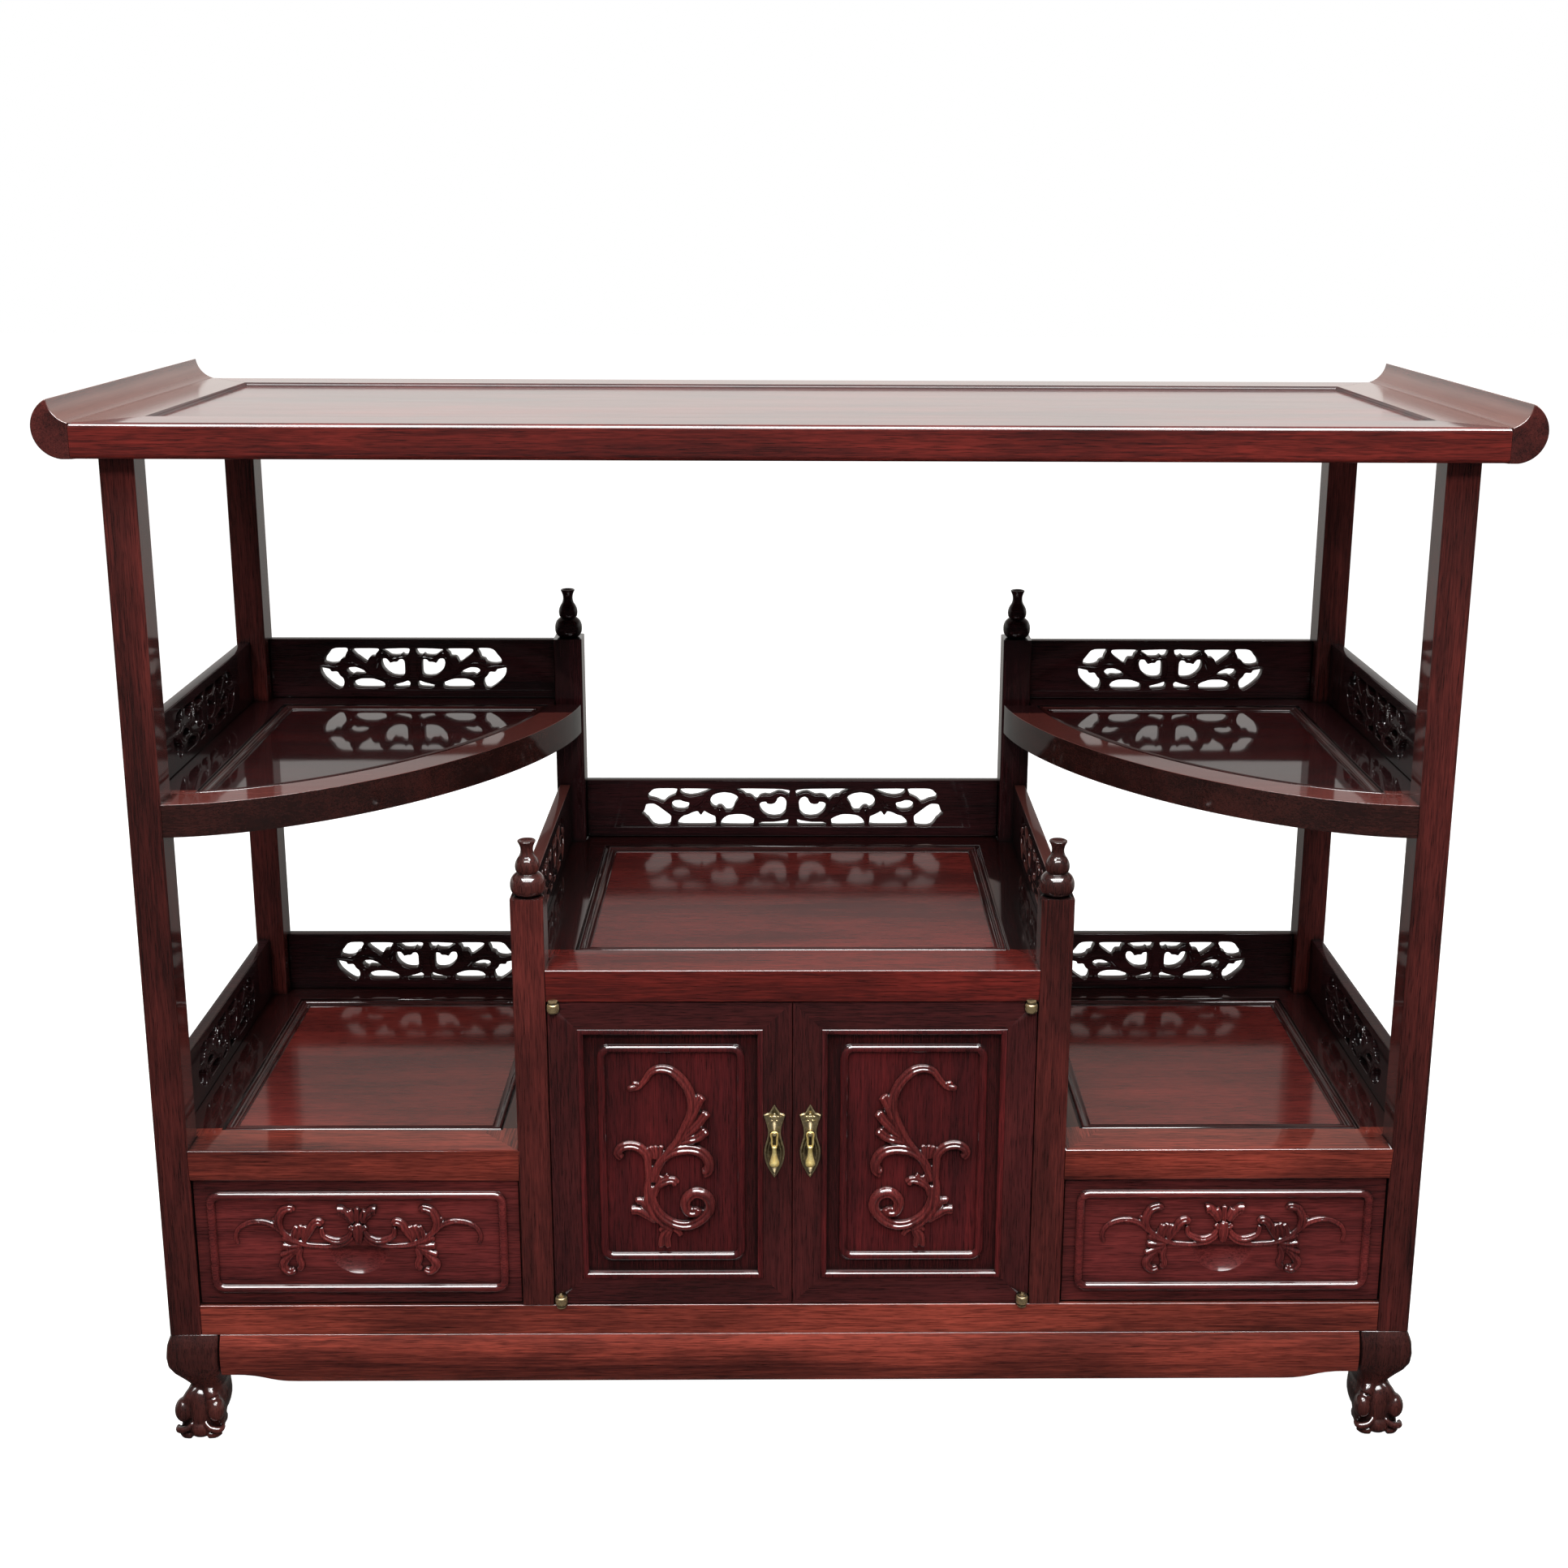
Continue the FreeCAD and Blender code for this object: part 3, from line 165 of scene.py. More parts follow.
def ramp(tree, value, stops):
    """The colours that (place, colour) stops give along a value."""
    node = added(tree, "ValToRGB", {0: value})
    elements = node.color_ramp.elements
    while len(elements) < len(stops):
        elements.new(0.5)
    for element, (place, colour) in zip(elements, stops):
        element.position, element.color = place, (*colour, 1)
    return node.outputs["Color"]


world = bpy.data.worlds.new("studio")
bpy.context.scene.world = world
world.use_nodes = True
tree = world.node_tree
tree.nodes.clear()
axes = axes_of(tree, source(tree, "TexCoord", "Generated"))
level = added(tree, "MapRange", {"From Min": -1, "Value": axes["Z"]})
behind = ramp(tree, level.outputs[0], [((height + 1) / 2, glow) for height, glow in ROOM_BEHIND])
turned_away = added(tree, "MapRange", {"From Min": FRONT_ENDS, "From Max": BEHIND_STARTS,
                                       "Value": axes["Y"]})
in_front = (ROOM_IN_FRONT, ROOM_IN_FRONT, ROOM_IN_FRONT, 1)
room_colour = added(tree, "Mix", {"Factor": turned_away.outputs[0], 6: in_front, 7: behind},
                    data_type="RGBA")
room = added(tree, "Background", {"Color": room_colour.outputs[2]})
seen = added(tree, "Background", {"Color": WHITE})
choice = added(tree, "MixShader", {0: source(tree, "LightPath", "Is Camera Ray"),
                                   1: room.outputs[0], 2: seen.outputs[0]})
added(tree, "OutputWorld", {0: choice.outputs[0]})
print("heights at which the room's colour is set:", len(ROOM_BEHIND))


# %% Soft boxes
def soft_box(name, place, aim, width, height, power, reflected=True, lights_matt=True):
    light = bpy.data.lights.new(name, "AREA")
    light.shape, light.size, light.size_y, light.energy = "RECTANGLE", width, height, power
    lamp = bpy.data.objects.new(name, light)
    way = (Vector(aim) - Vector(place)).to_track_quat("-Z", "Y")
    lamp.matrix_world = Matrix.Translation(place) @ way.to_matrix().to_4x4()
    lamp.visible_glossy, lamp.visible_diffuse = reflected, lights_matt
    bpy.context.scene.collection.objects.link(lamp)


MIDDLE, FORECOURT = (0, 0, 0.45), (0, -0.5, 0)
soft_box("front_strip", (0, -2.1, 2.3), MIDDLE, width=2.6, height=0.45, power=70)
soft_box("glint_box", (0, -1.35, 3.0), FORECOURT, width=3.4, height=1.1, power=480,
         lights_matt=False)
soft_box("front_fill", (0, -3.4, 1.0), MIDDLE, width=3.0, height=1.2, power=13, reflected=False)
soft_box("overhead_box", (0, -0.65, 3.0), FORECOURT, width=3.4, height=1.5, power=112)

# %% [markdown]
# ## Lacquered rosewood
#
# The wood is red-brown rosewood under clear lacquer. Up close it has broad bands of lighter and
# darker red, fine dark pores along the grain, and the lacquer lies over it like glass. A painted
# image could show that, but a procedural wood keeps its scale on every piece. Noise stretched
# along the grain gives the bands, a finer one the pores, and a clear coat on the shader gives the
# lacquer. The grain's direction follows each piece: along rails, up posts, and turning at the
# mitres of a frame.

# %% Node helpers
GRAIN_ORDERS = {"x": "XYZ", "y": "YXZ", "z": "ZXY"}


def link_math(tree, kind, *values):
    """A number worked out from sockets and plain numbers."""
    return added(tree, "Math", dict(enumerate(values)), operation=kind).outputs[0]


def object_axes(tree):
    return axes_of(tree, source(tree, "TexCoord", "Object"))


def grain_place(tree, along, turn_in=None):
    """Object coordinates, the grain's own direction first; turn_in is a 0-1 mask that turns it."""
    axes = object_axes(tree)

    def ordered(way):
        slots = {slot: axes[axis] for slot, axis in enumerate(GRAIN_ORDERS[way])}
        return added(tree, "CombineXYZ", slots).outputs[0]

    if turn_in is None:
        return ordered(along)
    slots = {"Factor": turn_in(tree, axes), 4: ordered(along[0]), 5: ordered(along[1])}
    return added(tree, "Mix", slots, data_type="VECTOR").outputs[1]


def stretched_noise(tree, place, along, across, detail, rough=0.5):
    mapping = added(tree, "Mapping", {"Vector": place, "Scale": (along, across, across)})
    slots = {"Vector": mapping.outputs[0], "Scale": 1.0, "Detail": detail, "Roughness": rough}
    return added(tree, "TexNoise", slots).outputs["Fac"]


def mixed(tree, first, second, blend, amount):
    """Two colours mixed; amount is a number or a 0-1 mask."""
    slots = {"Factor": amount, 6: first, 7: second}
    return added(tree, "Mix", slots, data_type="RGBA", blend_type=blend).outputs[2]


def stained(tree, tone, mask, stops, amount=1.0):
    """A tone multiplied by the colours that a ramp gives along a mask."""
    return mixed(tree, tone, ramp(tree, mask, stops), "MULTIPLY", amount)


def bumped(tree, height, strength, distance):
    slots = {"Height": height, "Strength": strength, "Distance": distance}
    return added(tree, "Bump", slots).outputs[0]


# %% Wood under lacquer
# Noise stretched along the grain: its scale along and across, its detail and its roughness.
BANDS, STREAKS, SMOKE = (2.6, 30, 3, 0.62), (13, 460, 4, 0.7), (6, 15, 3, 0.6)
DASHES, PORES, WAVES = (40, 900, 3, 0.6), (60, 1900, 2, 0.5), (6, 26, 2)
BAND_SHARE, STREAK_SHARE, PORE_SHARE = 0.55, 0.45, 0.85
DARK_PLACE, LIGHT_PLACE = 0.37, 0.62
# Each stain, and each painted shade or highlight: places on its mask, and what the wood's tone is
# multiplied by there.
SMOKE_STAIN = [(0.36, (0.74, 0.70, 0.70)), (0.62, (1.20, 1.16, 1.14))]
DASH_STAIN = [(0.40, (0.64, 0.60, 0.60)), (0.52, (1.06, 1.05, 1.04))]
PORE_STAIN = [(0.33, (0.30, 0.26, 0.26)), (0.45, (1, 1, 1))]
# Painted shade: ambient occlusion darkens the wood in seams, gaps and crevices.
SEAM_SHADE, SEAM_REACH = [(0.34, (0.07, 0.06, 0.06)), (0.90, (1, 1, 1))], 8 * MM
# Carved ridges and hollows: hollows darker as painted shade, ridges lighter as wear and painted
# highlight.
RIDGE_SHADE_AND_HIGHLIGHT = [(0.42, (0.30, 0.28, 0.28)), (0.50, (1, 1, 1)), (0.60, (1.7, 1.6, 1.5))]
# Painted light: faces that look up are made lighter, by how far their normal points up.
TOP_LIGHT_STOPS, TOP_LIGHT_DARK = [(0.15, (0, 0, 0)), (0.5, (0.9, 0.9, 0.9))], 0.75


def lacquered(name, tones, along="x", turn_in=None, gloss=0.06, wave=0.3, carved=False, deep=None,
              shade_tone=(0.16, 0.12, 0.18), top_light=None, lacquer=1.0):
    """Rosewood under lacquer: soft bands, fine streaks, short dark pores, painted shade in the
    seams.

    Carved pieces also get darker hollows, as painted shade, and lighter ridges, as wear and painted
    highlight; deep is a 0-1 mask of where painted shade darkens the wood; the colour given for
    faces that look up is painted light on them; lacquer is how much of the coat is left.
    """
    material, tree, shader = new_material(name)
    place = grain_place(tree, along, turn_in)
    bands, streaks = (stretched_noise(tree, place, *noise) for noise in (BANDS, STREAKS))
    grain = link_math(tree, "ADD", link_math(tree, "MULTIPLY", bands, BAND_SHARE),
                      link_math(tree, "MULTIPLY", streaks, STREAK_SHARE))
    tone = ramp(tree, grain, [(DARK_PLACE, tones[0]), (LIGHT_PLACE, tones[1])])
    tone = stained(tree, tone, stretched_noise(tree, place, *SMOKE), SMOKE_STAIN)
    tone = stained(tree, tone, stretched_noise(tree, place, *DASHES), DASH_STAIN)
    tone = stained(tree, tone, stretched_noise(tree, place, *PORES), PORE_STAIN, PORE_SHARE)
    # Painted light on faces that look up.
    if top_light:
        normal = source(tree, "NewGeometry", "Normal")
        dark_top_light = tuple(TOP_LIGHT_DARK * part for part in top_light)
        tone = mixed(tree, tone, ramp(tree, grain, [(0.35, dark_top_light), (0.65, top_light)]), "MIX",
                     ramp(tree, axes_of(tree, normal)["Z"], TOP_LIGHT_STOPS))
    # Painted shade: where the mask is one, the tone is multiplied by the shade tone.
    if deep:
        stops = [(0.0, (1, 1, 1)), (1.0, shade_tone)]
        tone = stained(tree, tone, deep(tree, object_axes(tree)), stops)
    # Painted shade in seams, gaps and crevices, from ambient occlusion.
    seams = added(tree, "AmbientOcclusion", {"Distance": SEAM_REACH}, samples=6)
    tone = stained(tree, tone, seams.outputs["AO"], SEAM_SHADE)
    # Painted shade in the hollows and painted highlight on the ridges, with wear.
    if carved:
        tone = stained(tree, tone, source(tree, "NewGeometry", "Pointiness"), RIDGE_SHADE_AND_HIGHLIGHT)
    waves = stretched_noise(tree, place, *WAVES)
    set_inputs(tree, shader, {
        "Base Color": tone, "Roughness": 0.6, "Specular IOR Level": 0.06,
        "Normal": bumped(tree, streaks, 0.25, 0.2 * MM), "Coat Weight": lacquer,
        "Coat Roughness": gloss, "Coat IOR": 1.5,
        "Coat Normal": bumped(tree, waves, wave, 0.4 * MM)})
    return material


# %% The woods
# Each wood's darker and lighter tone, as linear red, green and blue.
RED = (0.038, 0.0034, 0.0028), (0.145, 0.0140, 0.0095)
LOW = (0.050, 0.0072, 0.0050), (0.225, 0.0370, 0.0225)
BASE = (0.058, 0.0090, 0.0062), (0.265, 0.0460, 0.0280)
BROWN = (0.022, 0.0038, 0.0032), (0.088, 0.0145, 0.0115)
DOOR = (0.024, 0.0034, 0.0038), (0.062, 0.0095, 0.0092)
FIELD = (0.036, 0.0036, 0.0046), (0.088, 0.0078, 0.0084)
DRAWER = (0.053, 0.0070, 0.0072), (0.143, 0.0190, 0.0176)
WINE = (0.076, 0.0074, 0.0068), (0.158, 0.0190, 0.0142)
FAN = (0.010, 0.0030, 0.0024), (0.036, 0.0084, 0.0064)
FAN_FIELD = (0.018, 0.0018, 0.0024), (0.050, 0.0046, 0.0050)
BEAD = (0.012, 0.0022, 0.0022), (0.050, 0.0070, 0.0060)
PAW = (0.020, 0.0050, 0.0042), (0.062, 0.0140, 0.0110)
NIGHT = (0.0050, 0.0012, 0.0016), (0.026, 0.0044, 0.0056)
# Colours of painted light on faces that look up.
SIDE_TOP_LIGHT = (0.18, 0.088, 0.072)
FAN_TOP_LIGHT, GALLERY_TOP_LIGHT = (0.15, 0.034, 0.027), (0.13, 0.034, 0.027)
# Painted shade: what the border of a door's and a drawer's panel outside its raised ring is
# multiplied by.
DOOR_BORDER_SHADE, DRAWER_BORDER_SHADE = (0.50, 0.52, 0.50), (0.72, 0.74, 0.72)

rail_wood = lacquered("rail_rosewood", RED)
# Painted shade: the beads round shelves and panels are far darker than the frames, for the shade in
# their grooves.
bead_shade_wood = lacquered("bead_rosewood", BEAD)
# Painted shade: the top's cove gets dark, dull wood for the shadow in its groove.
groove_shade_wood = lacquered("groove_rosewood", BEAD, gloss=0.45)
side_wood = lacquered("side_rosewood", BROWN, "y", gloss=0.14, top_light=SIDE_TOP_LIGHT)
post_wood = lacquered("post_rosewood", BROWN, "z")
shaded_post_wood = lacquered("shaded_post_rosewood", NIGHT, "z")
base_wood = lacquered("base_rosewood", BASE)
top_wood = lacquered("top_rosewood", RED, gloss=0.12, wave=0.5)
panel_wood = lacquered("panel_rosewood", WINE, gloss=0.11)
fan_panel_wood = lacquered("fan_panel_rosewood", FAN_FIELD, gloss=0.05, wave=0.2)
door_wood = lacquered("door_rosewood", FIELD, "z")
drawer_wood = lacquered("drawer_rosewood", DRAWER, gloss=0.09)
night_wood = lacquered("dark_rosewood", NIGHT, lacquer=0.6)
night_side_wood = lacquered("dark_side_rosewood", NIGHT, "y", lacquer=0.45, top_light=GALLERY_TOP_LIGHT)
carved_wood = lacquered("carved_rosewood", DRAWER, "z", carved=True, gloss=0.1)
paw_wood = lacquered("paw_rosewood", PAW, "z", carved=True, gloss=0.12)
turned_wood = lacquered("turned_rosewood", PAW, "z", gloss=0.05, wave=0.1)
print("shader nodes in the rails' wood:", len(rail_wood.node_tree.nodes))

# %% [markdown]
# ## Plain inner wood and old brass
#
# The drawer boxes are a paler wood without lacquer: the same grain, only dry. The pulls and door
# pins are cast brass, gone brown with age and bright where fingers rub it. A blotchy mask between
# a dull and a bright brass gives that, with less gloss where it is dull.

# %% Dry wood and brass
DRY_BANDS, DRY_STREAKS = (3, 60, 3, 0.6), (12, 520, 3, 0.6)
DRY_STAIN = [(0.35, (0.7, 0.66, 0.62)), (0.6, (1.05, 1.05, 1.05))]
BLOTCHES, PITS = (260, 260, 4, 0.6), (900, 900, 3)
DULL_PLACE, BRIGHT_PLACE = 0.36, 0.62


def dry(name, tones, along):
    material, tree, shader = new_material(name)
    place = grain_place(tree, along)
    tone = ramp(tree, stretched_noise(tree, place, *DRY_BANDS), [(0.3, tones[0]), (0.7, tones[1])])
    streaks = stretched_noise(tree, place, *DRY_STREAKS)
    set_inputs(tree, shader, {"Base Color": stained(tree, tone, streaks, DRY_STAIN),
                              "Roughness": 0.62, "Normal": bumped(tree, streaks, 0.4, 0.3 * MM)})
    return material


def old_brass(name, tones):
    material, tree, shader = new_material(name)
    place = source(tree, "TexCoord", "Object")
    ridges = source(tree, "NewGeometry", "Pointiness")
    sharpness = link_math(tree, "MULTIPLY", link_math(tree, "SUBTRACT", ridges, 0.5), 3.0)
    rubbed = link_math(tree, "ADD", stretched_noise(tree, place, *BLOTCHES), sharpness)
    rough = added(tree, "MapRange", {"Value": rubbed, "From Min": DULL_PLACE,
                                     "From Max": BRIGHT_PLACE, "To Min": 0.55, "To Max": 0.26})
    tone = ramp(tree, rubbed, [(DULL_PLACE, tones[0]), (BRIGHT_PLACE, tones[1])])
    pits = stretched_noise(tree, place, *PITS)
    set_inputs(tree, shader, {"Base Color": tone, "Roughness": rough.outputs[0],
                              "Metallic": 0.65, "Normal": bumped(tree, pits, 0.25, 0.2 * MM)})
    return material


inner_wood = dry("inner_wood", ((0.16, 0.075, 0.035), (0.34, 0.19, 0.10)), "y")
brass = old_brass("aged_brass", ((0.12, 0.092, 0.050), (0.40, 0.32, 0.17)))
rubbed_brass = old_brass("rubbed_brass", ((0.50, 0.36, 0.12), (0.95, 0.80, 0.36)))
dull_bronze = old_brass("dull_bronze", ((0.045, 0.030, 0.016), (0.34, 0.25, 0.13)))
print("shader nodes in the brass:", len(brass.node_tree.nodes))

# %% [markdown]
# ## Dressing the solids
#
# Most pieces of the frame already have their true shape as solids: posts, rails, boards and
# panels. They only need their arrises eased, because a real edge is rubbed round and catches a
# thin light line. A bevel does that. A mask tells the wood where a frame's members meet, which of
# them get painted shade, and where a panel's border starts, which gets painted shade too. The
# pieces are dressed in groups, and each group gets its wood and its grain.

# %% Masks
# Edges of a fan frame's side and back members, and of the raised rings on the right door and
# drawer: inner and outer edge, foot and head. All in millimetres.
FAN_SIDE_EDGE, FAN_FRONT_END, FAN_BACK_EDGE = 481, -133, 121
DOOR_RING, DRAWER_RING = (44.6, 164.5, 177.5, 375), (253, 506.5, 148, 238)
REVEAL = 1


def span(way, inner, outer, low_2, high_2):
    """Low and high corner of a rectangle given for the right side, in metres, on either side."""
    low, high = sorted((way * inner * MM, way * outer * MM))
    return low, low_2 * MM, high, high_2 * MM


def inside(tree, axis, low, high):
    """How far a point lies inside two edges."""
    return link_math(tree, "MINIMUM", link_math(tree, "SUBTRACT", axis, low),
                     link_math(tree, "SUBTRACT", high, axis))


def mitre_turn(node, side_width, front_width, upright):
    """The mask of a frame's two side members, seen from its mitres."""
    low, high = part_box(node)
    second, order = ("Z", 2) if upright else ("Y", 1)

    def mask(tree, axes):
        from_end = inside(tree, axes[second], low[order], high[order])
        scaled = link_math(tree, "MULTIPLY", from_end, side_width / front_width)
        return link_math(tree, "LESS_THAN", inside(tree, axes["X"], low[0], high[0]), scaled)

    return mask


def behind_front_rail(node, front_width):
    """The mask of a shelf frame's side and back members."""
    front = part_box(node)[0][1] + (front_width + REVEAL) * MM
    return lambda tree, axes: link_math(tree, "GREATER_THAN", axes["Y"], front)


def away_from_rim(tree, axes):
    """The mask of a fan frame's side and back members."""
    across = link_math(tree, "ABSOLUTE", axes["X"])
    beside = link_math(tree, "GREATER_THAN", across, FAN_SIDE_EDGE * MM)
    behind_front = link_math(tree, "GREATER_THAN", axes["Y"], FAN_FRONT_END * MM)
    at_back = link_math(tree, "GREATER_THAN", axes["Y"], FAN_BACK_EDGE * MM)
    return link_math(tree, "MAXIMUM", at_back, link_math(tree, "MULTIPLY", beside, behind_front))


def outside_ring(way, ring):
    """The mask of what lies outside an upright ring."""
    x_low, z_low, x_high, z_high = span(way, *ring)

    def mask(tree, axes):
        nearest = link_math(tree, "MINIMUM", inside(tree, axes["X"], x_low, x_high),
                            inside(tree, axes["Z"], z_low, z_high))
        return link_math(tree, "LESS_THAN", nearest, 0.0)

    return mask


# %% Dressed solids
ARRIS, RAIL_ARRIS, APRON_ARRIS, DRAWER_ARRIS, BRASS_ARRIS = 0.9, 1.6, 3.4, 1.4, 2.2
SHELF_ARRIS, FRAME_ARRIS, DOOR_ARRIS = 2.8, 1.8, 1.3
SHELF_RAIL, MIDDLE_FRONT_RAIL, DOOR_RAIL = 40, 46, 26
ARRIS_STEPS, CRISP_ANGLE, WELD_REACH = 3, 35, 1e-6


def weld(piece):
    piece.modifiers.new("weld", "WELD").merge_threshold = WELD_REACH
    return piece


def dress(names, material, arris=ARRIS):
    """Gives solids their finish and an eased arris, in millimetres."""
    for name in names:
        piece = weld(solids[name])
        piece.data.materials.clear()
        piece.data.materials.append(material)
        bevel = piece.modifiers.new("arris", "BEVEL")
        bevel.width, bevel.segments, bevel.limit_method = arris * MM, ARRIS_STEPS, "ANGLE"
        bevel.angle_limit = math.radians(CRISP_ANGLE)
        piece.modifiers.new("even", "WEIGHTED_NORMAL").keep_sharp = False


def dress_frame(name, tones, arris, side_width=SHELF_RAIL, front_width=SHELF_RAIL, upright=False,
                top_light=None):
    """Dresses a mitred frame: its grain turns at the mitres; hidden members get painted shade."""
    turn_in = mitre_turn(name, side_width, front_width, upright)
    # Painted shade on a shelf or fan frame's side and back members, where the galleries shade them.
    deep = None
    if not upright:
        deep = away_from_rim if "fan" in name else behind_front_rail(name, front_width)
    along = "xz" if upright else "xy"
    wood = lacquered(name + "_rosewood", tones, along, turn_in, deep=deep, top_light=top_light)
    dress([name], wood, arris)


dress([name for name in solids if name.endswith("_post") and "inner_back" not in name], post_wood)
dress([name for name in solids if "inner_back" in name], shaded_post_wood)
dress(["top_front_rail", "top_back_rail"], rail_wood, RAIL_ARRIS)
dress(["aprons"], base_wood, APRON_ARRIS)
dress(["bottom_frame"], base_wood, RAIL_ARRIS)
dress(["top_end_rails", "left_scroll_end", "right_scroll_end"], side_wood)
dress(["top_panel"], top_wood)
dress(["left_fan_panel", "right_fan_panel"], fan_panel_wood)
dress(["left_shelf_panel", "right_shelf_panel", "middle_top_panel"], panel_wood)
dress(["side_walls", "partitions", "back_boards", "bottom_board", "drawer_runners"], panel_wood)
dress(["left_drawer_box", "right_drawer_box"], inner_wood)
dress([name for name in solids if "knuckles" in name or name == "hinge_plates"], dull_bronze,
      BRASS_ARRIS)
dress_frame("middle_top_frame", RED, FRAME_ARRIS, SHELF_RAIL, MIDDLE_FRONT_RAIL)
for side_name, way in SIDES:
    # Painted shade on each drawer's and door's border outside its raised ring.
    wood = lacquered(side_name + "_drawer_rosewood", DRAWER, gloss=0.13,
                     deep=outside_ring(way, DRAWER_RING), shade_tone=DRAWER_BORDER_SHADE)
    dress([side_name + "_drawer_front"], wood, DRAWER_ARRIS)
    wood = lacquered(side_name + "_door_rosewood", FIELD, "z", deep=outside_ring(way, DOOR_RING),
                     shade_tone=DOOR_BORDER_SHADE)
    dress([side_name + "_door_panel"], wood)
    dress_frame(side_name + "_shelf_frame", LOW, SHELF_ARRIS)
    dress_frame(side_name + "_fan_frame", FAN, FRAME_ARRIS, top_light=FAN_TOP_LIGHT)
    dress_frame(side_name + "_door_frame", DOOR, DOOR_ARRIS, DOOR_RAIL, DOOR_RAIL, upright=True)
print("dressed:", len([solid for solid in solids.values() if solid.modifiers]))

# %% [markdown]
# ## Pierced galleries
#
# Each shelf is fenced by a thin board pierced with leafy scrollwork. The openings are what the eye
# reads, so the board is drawn as an outline with its openings inside, one half drawn and the other
# mirrored, and given its thickness with rounded edges. That is how the real one is made too: holes
# sawn through a board, then the edges carved round.

# %% Scrollwork of the short galleries
# Openings and leaf ribs of one half, drawn over an enlargement of the photograph in its own units,
# and where the drawing's middle, foot, half length and height lie there.
SHORT_OPENINGS = [
    [(85, 185), (88, 165), (105, 145), (122, 122), (145, 113), (205, 112), (207, 125), (200, 135),
     (193, 150), (192, 160), (170, 168), (163, 182), (145, 190), (115, 192)],
    [(228, 128), (232, 115), (365, 115), (362, 128), (348, 140), (345, 155), (320, 155), (310, 165),
     (302, 185), (290, 180), (270, 165), (245, 148)],
    [(378, 118), (520, 113), (518, 130), (508, 148), (490, 150), (480, 140), (470, 150), (445, 152),
     (420, 150), (400, 135), (385, 128)],
    [(372, 185), (378, 165), (400, 165), (412, 178), (418, 188), (435, 182), (455, 182), (465, 170),
     (482, 168), (492, 180), (492, 240), (480, 252), (455, 254), (425, 250), (400, 235),
     (380, 212)],
    [(62, 208), (85, 213), (112, 218), (118, 232), (150, 230), (160, 250), (178, 265), (182, 285),
     (172, 312), (150, 315), (125, 300), (105, 285), (80, 262), (65, 235)],
    [(195, 222), (210, 210), (245, 208), (280, 222), (298, 238), (270, 243), (235, 240), (222, 248),
     (205, 238)],
    [(225, 292), (240, 275), (270, 265), (330, 265), (375, 280), (388, 290), (385, 312),
     (240, 312)],
    [(428, 298), (450, 292), (480, 285), (505, 275), (517, 285), (512, 308), (440, 312)],
]
SHORT_RIBS = [
    [(62, 200), (110, 202), (160, 205), (195, 190), (240, 190), (290, 210), (330, 245), (380, 265),
     (450, 270)],
    [(160, 215), (200, 255), (300, 252), (380, 268)], [(205, 165), (218, 140), (220, 118)],
    [(325, 210), (345, 180), (365, 150), (385, 140), (430, 165), (480, 158), (515, 165)],
    [(345, 225), (355, 190), (372, 160)], [(512, 160), (514, 220), (500, 265), (470, 275)],
    [(200, 260), (205, 290), (203, 314)], [(405, 275), (405, 312)],
]
SHORT_MIDDLE, SHORT_FOOT, SHORT_LENGTH, SHORT_HEIGHT = 535, 318, 475, 206
SHORT_HALF = 93.5
SHORT_FRET = (SHORT_OPENINGS, SHORT_RIBS, SHORT_MIDDLE, SHORT_FOOT, SHORT_LENGTH, SHORT_HEIGHT,
              SHORT_HALF)
print("openings in a short gallery:", 2 * len(SHORT_OPENINGS))

# %% Scrollwork of the long gallery
LONG_OPENINGS = [
    [(75, 160), (70, 145), (95, 120), (120, 115), (215, 115), (210, 130), (203, 148), (185, 155),
     (165, 165), (148, 182), (135, 180), (110, 168), (85, 163)],
    [(228, 115), (385, 117), (370, 125), (340, 138), (310, 148), (275, 153), (245, 147), (232, 138),
     (225, 128)],
    [(185, 200), (186, 182), (200, 172), (225, 170), (245, 178), (270, 182), (268, 200), (262, 212),
     (240, 220), (210, 218), (193, 210)],
    [(75, 188), (100, 188), (118, 198), (135, 210), (155, 225), (182, 245), (180, 270), (175, 293),
     (120, 298), (95, 290), (80, 272), (72, 258), (62, 252), (52, 240), (38, 233), (52, 222),
     (58, 205), (62, 192)],
    [(215, 293), (213, 275), (225, 258), (245, 243), (275, 232), (310, 222), (318, 235), (326, 243),
     (335, 230), (342, 222), (358, 232), (375, 240), (395, 248), (396, 270), (400, 293)],
    [(370, 185), (372, 165), (382, 148), (405, 138), (440, 133), (475, 138), (500, 150), (507, 165),
     (495, 180), (487, 195), (482, 212), (470, 222), (445, 222), (437, 210), (425, 200), (408, 200),
     (398, 210), (380, 200)],
    [(418, 293), (422, 275), (432, 258), (455, 243), (490, 238), (530, 238), (560, 248), (585, 262),
     (580, 278), (578, 295)],
    [(490, 115), (755, 118), (752, 150), (740, 143), (720, 135), (695, 133), (675, 142), (655, 150),
     (635, 146), (610, 152), (598, 170), (588, 168), (575, 155), (560, 148), (545, 148), (530, 135),
     (510, 128)],
    [(607, 190), (618, 180), (640, 178), (645, 188), (665, 190), (682, 185), (690, 175), (695, 162),
     (710, 153), (728, 160), (738, 175), (737, 205), (733, 228), (712, 248), (680, 253), (648, 248),
     (625, 232), (610, 212)],
    [(607, 293), (605, 280), (625, 275), (680, 275), (725, 268), (747, 262), (748, 278),
     (740, 293)],
]
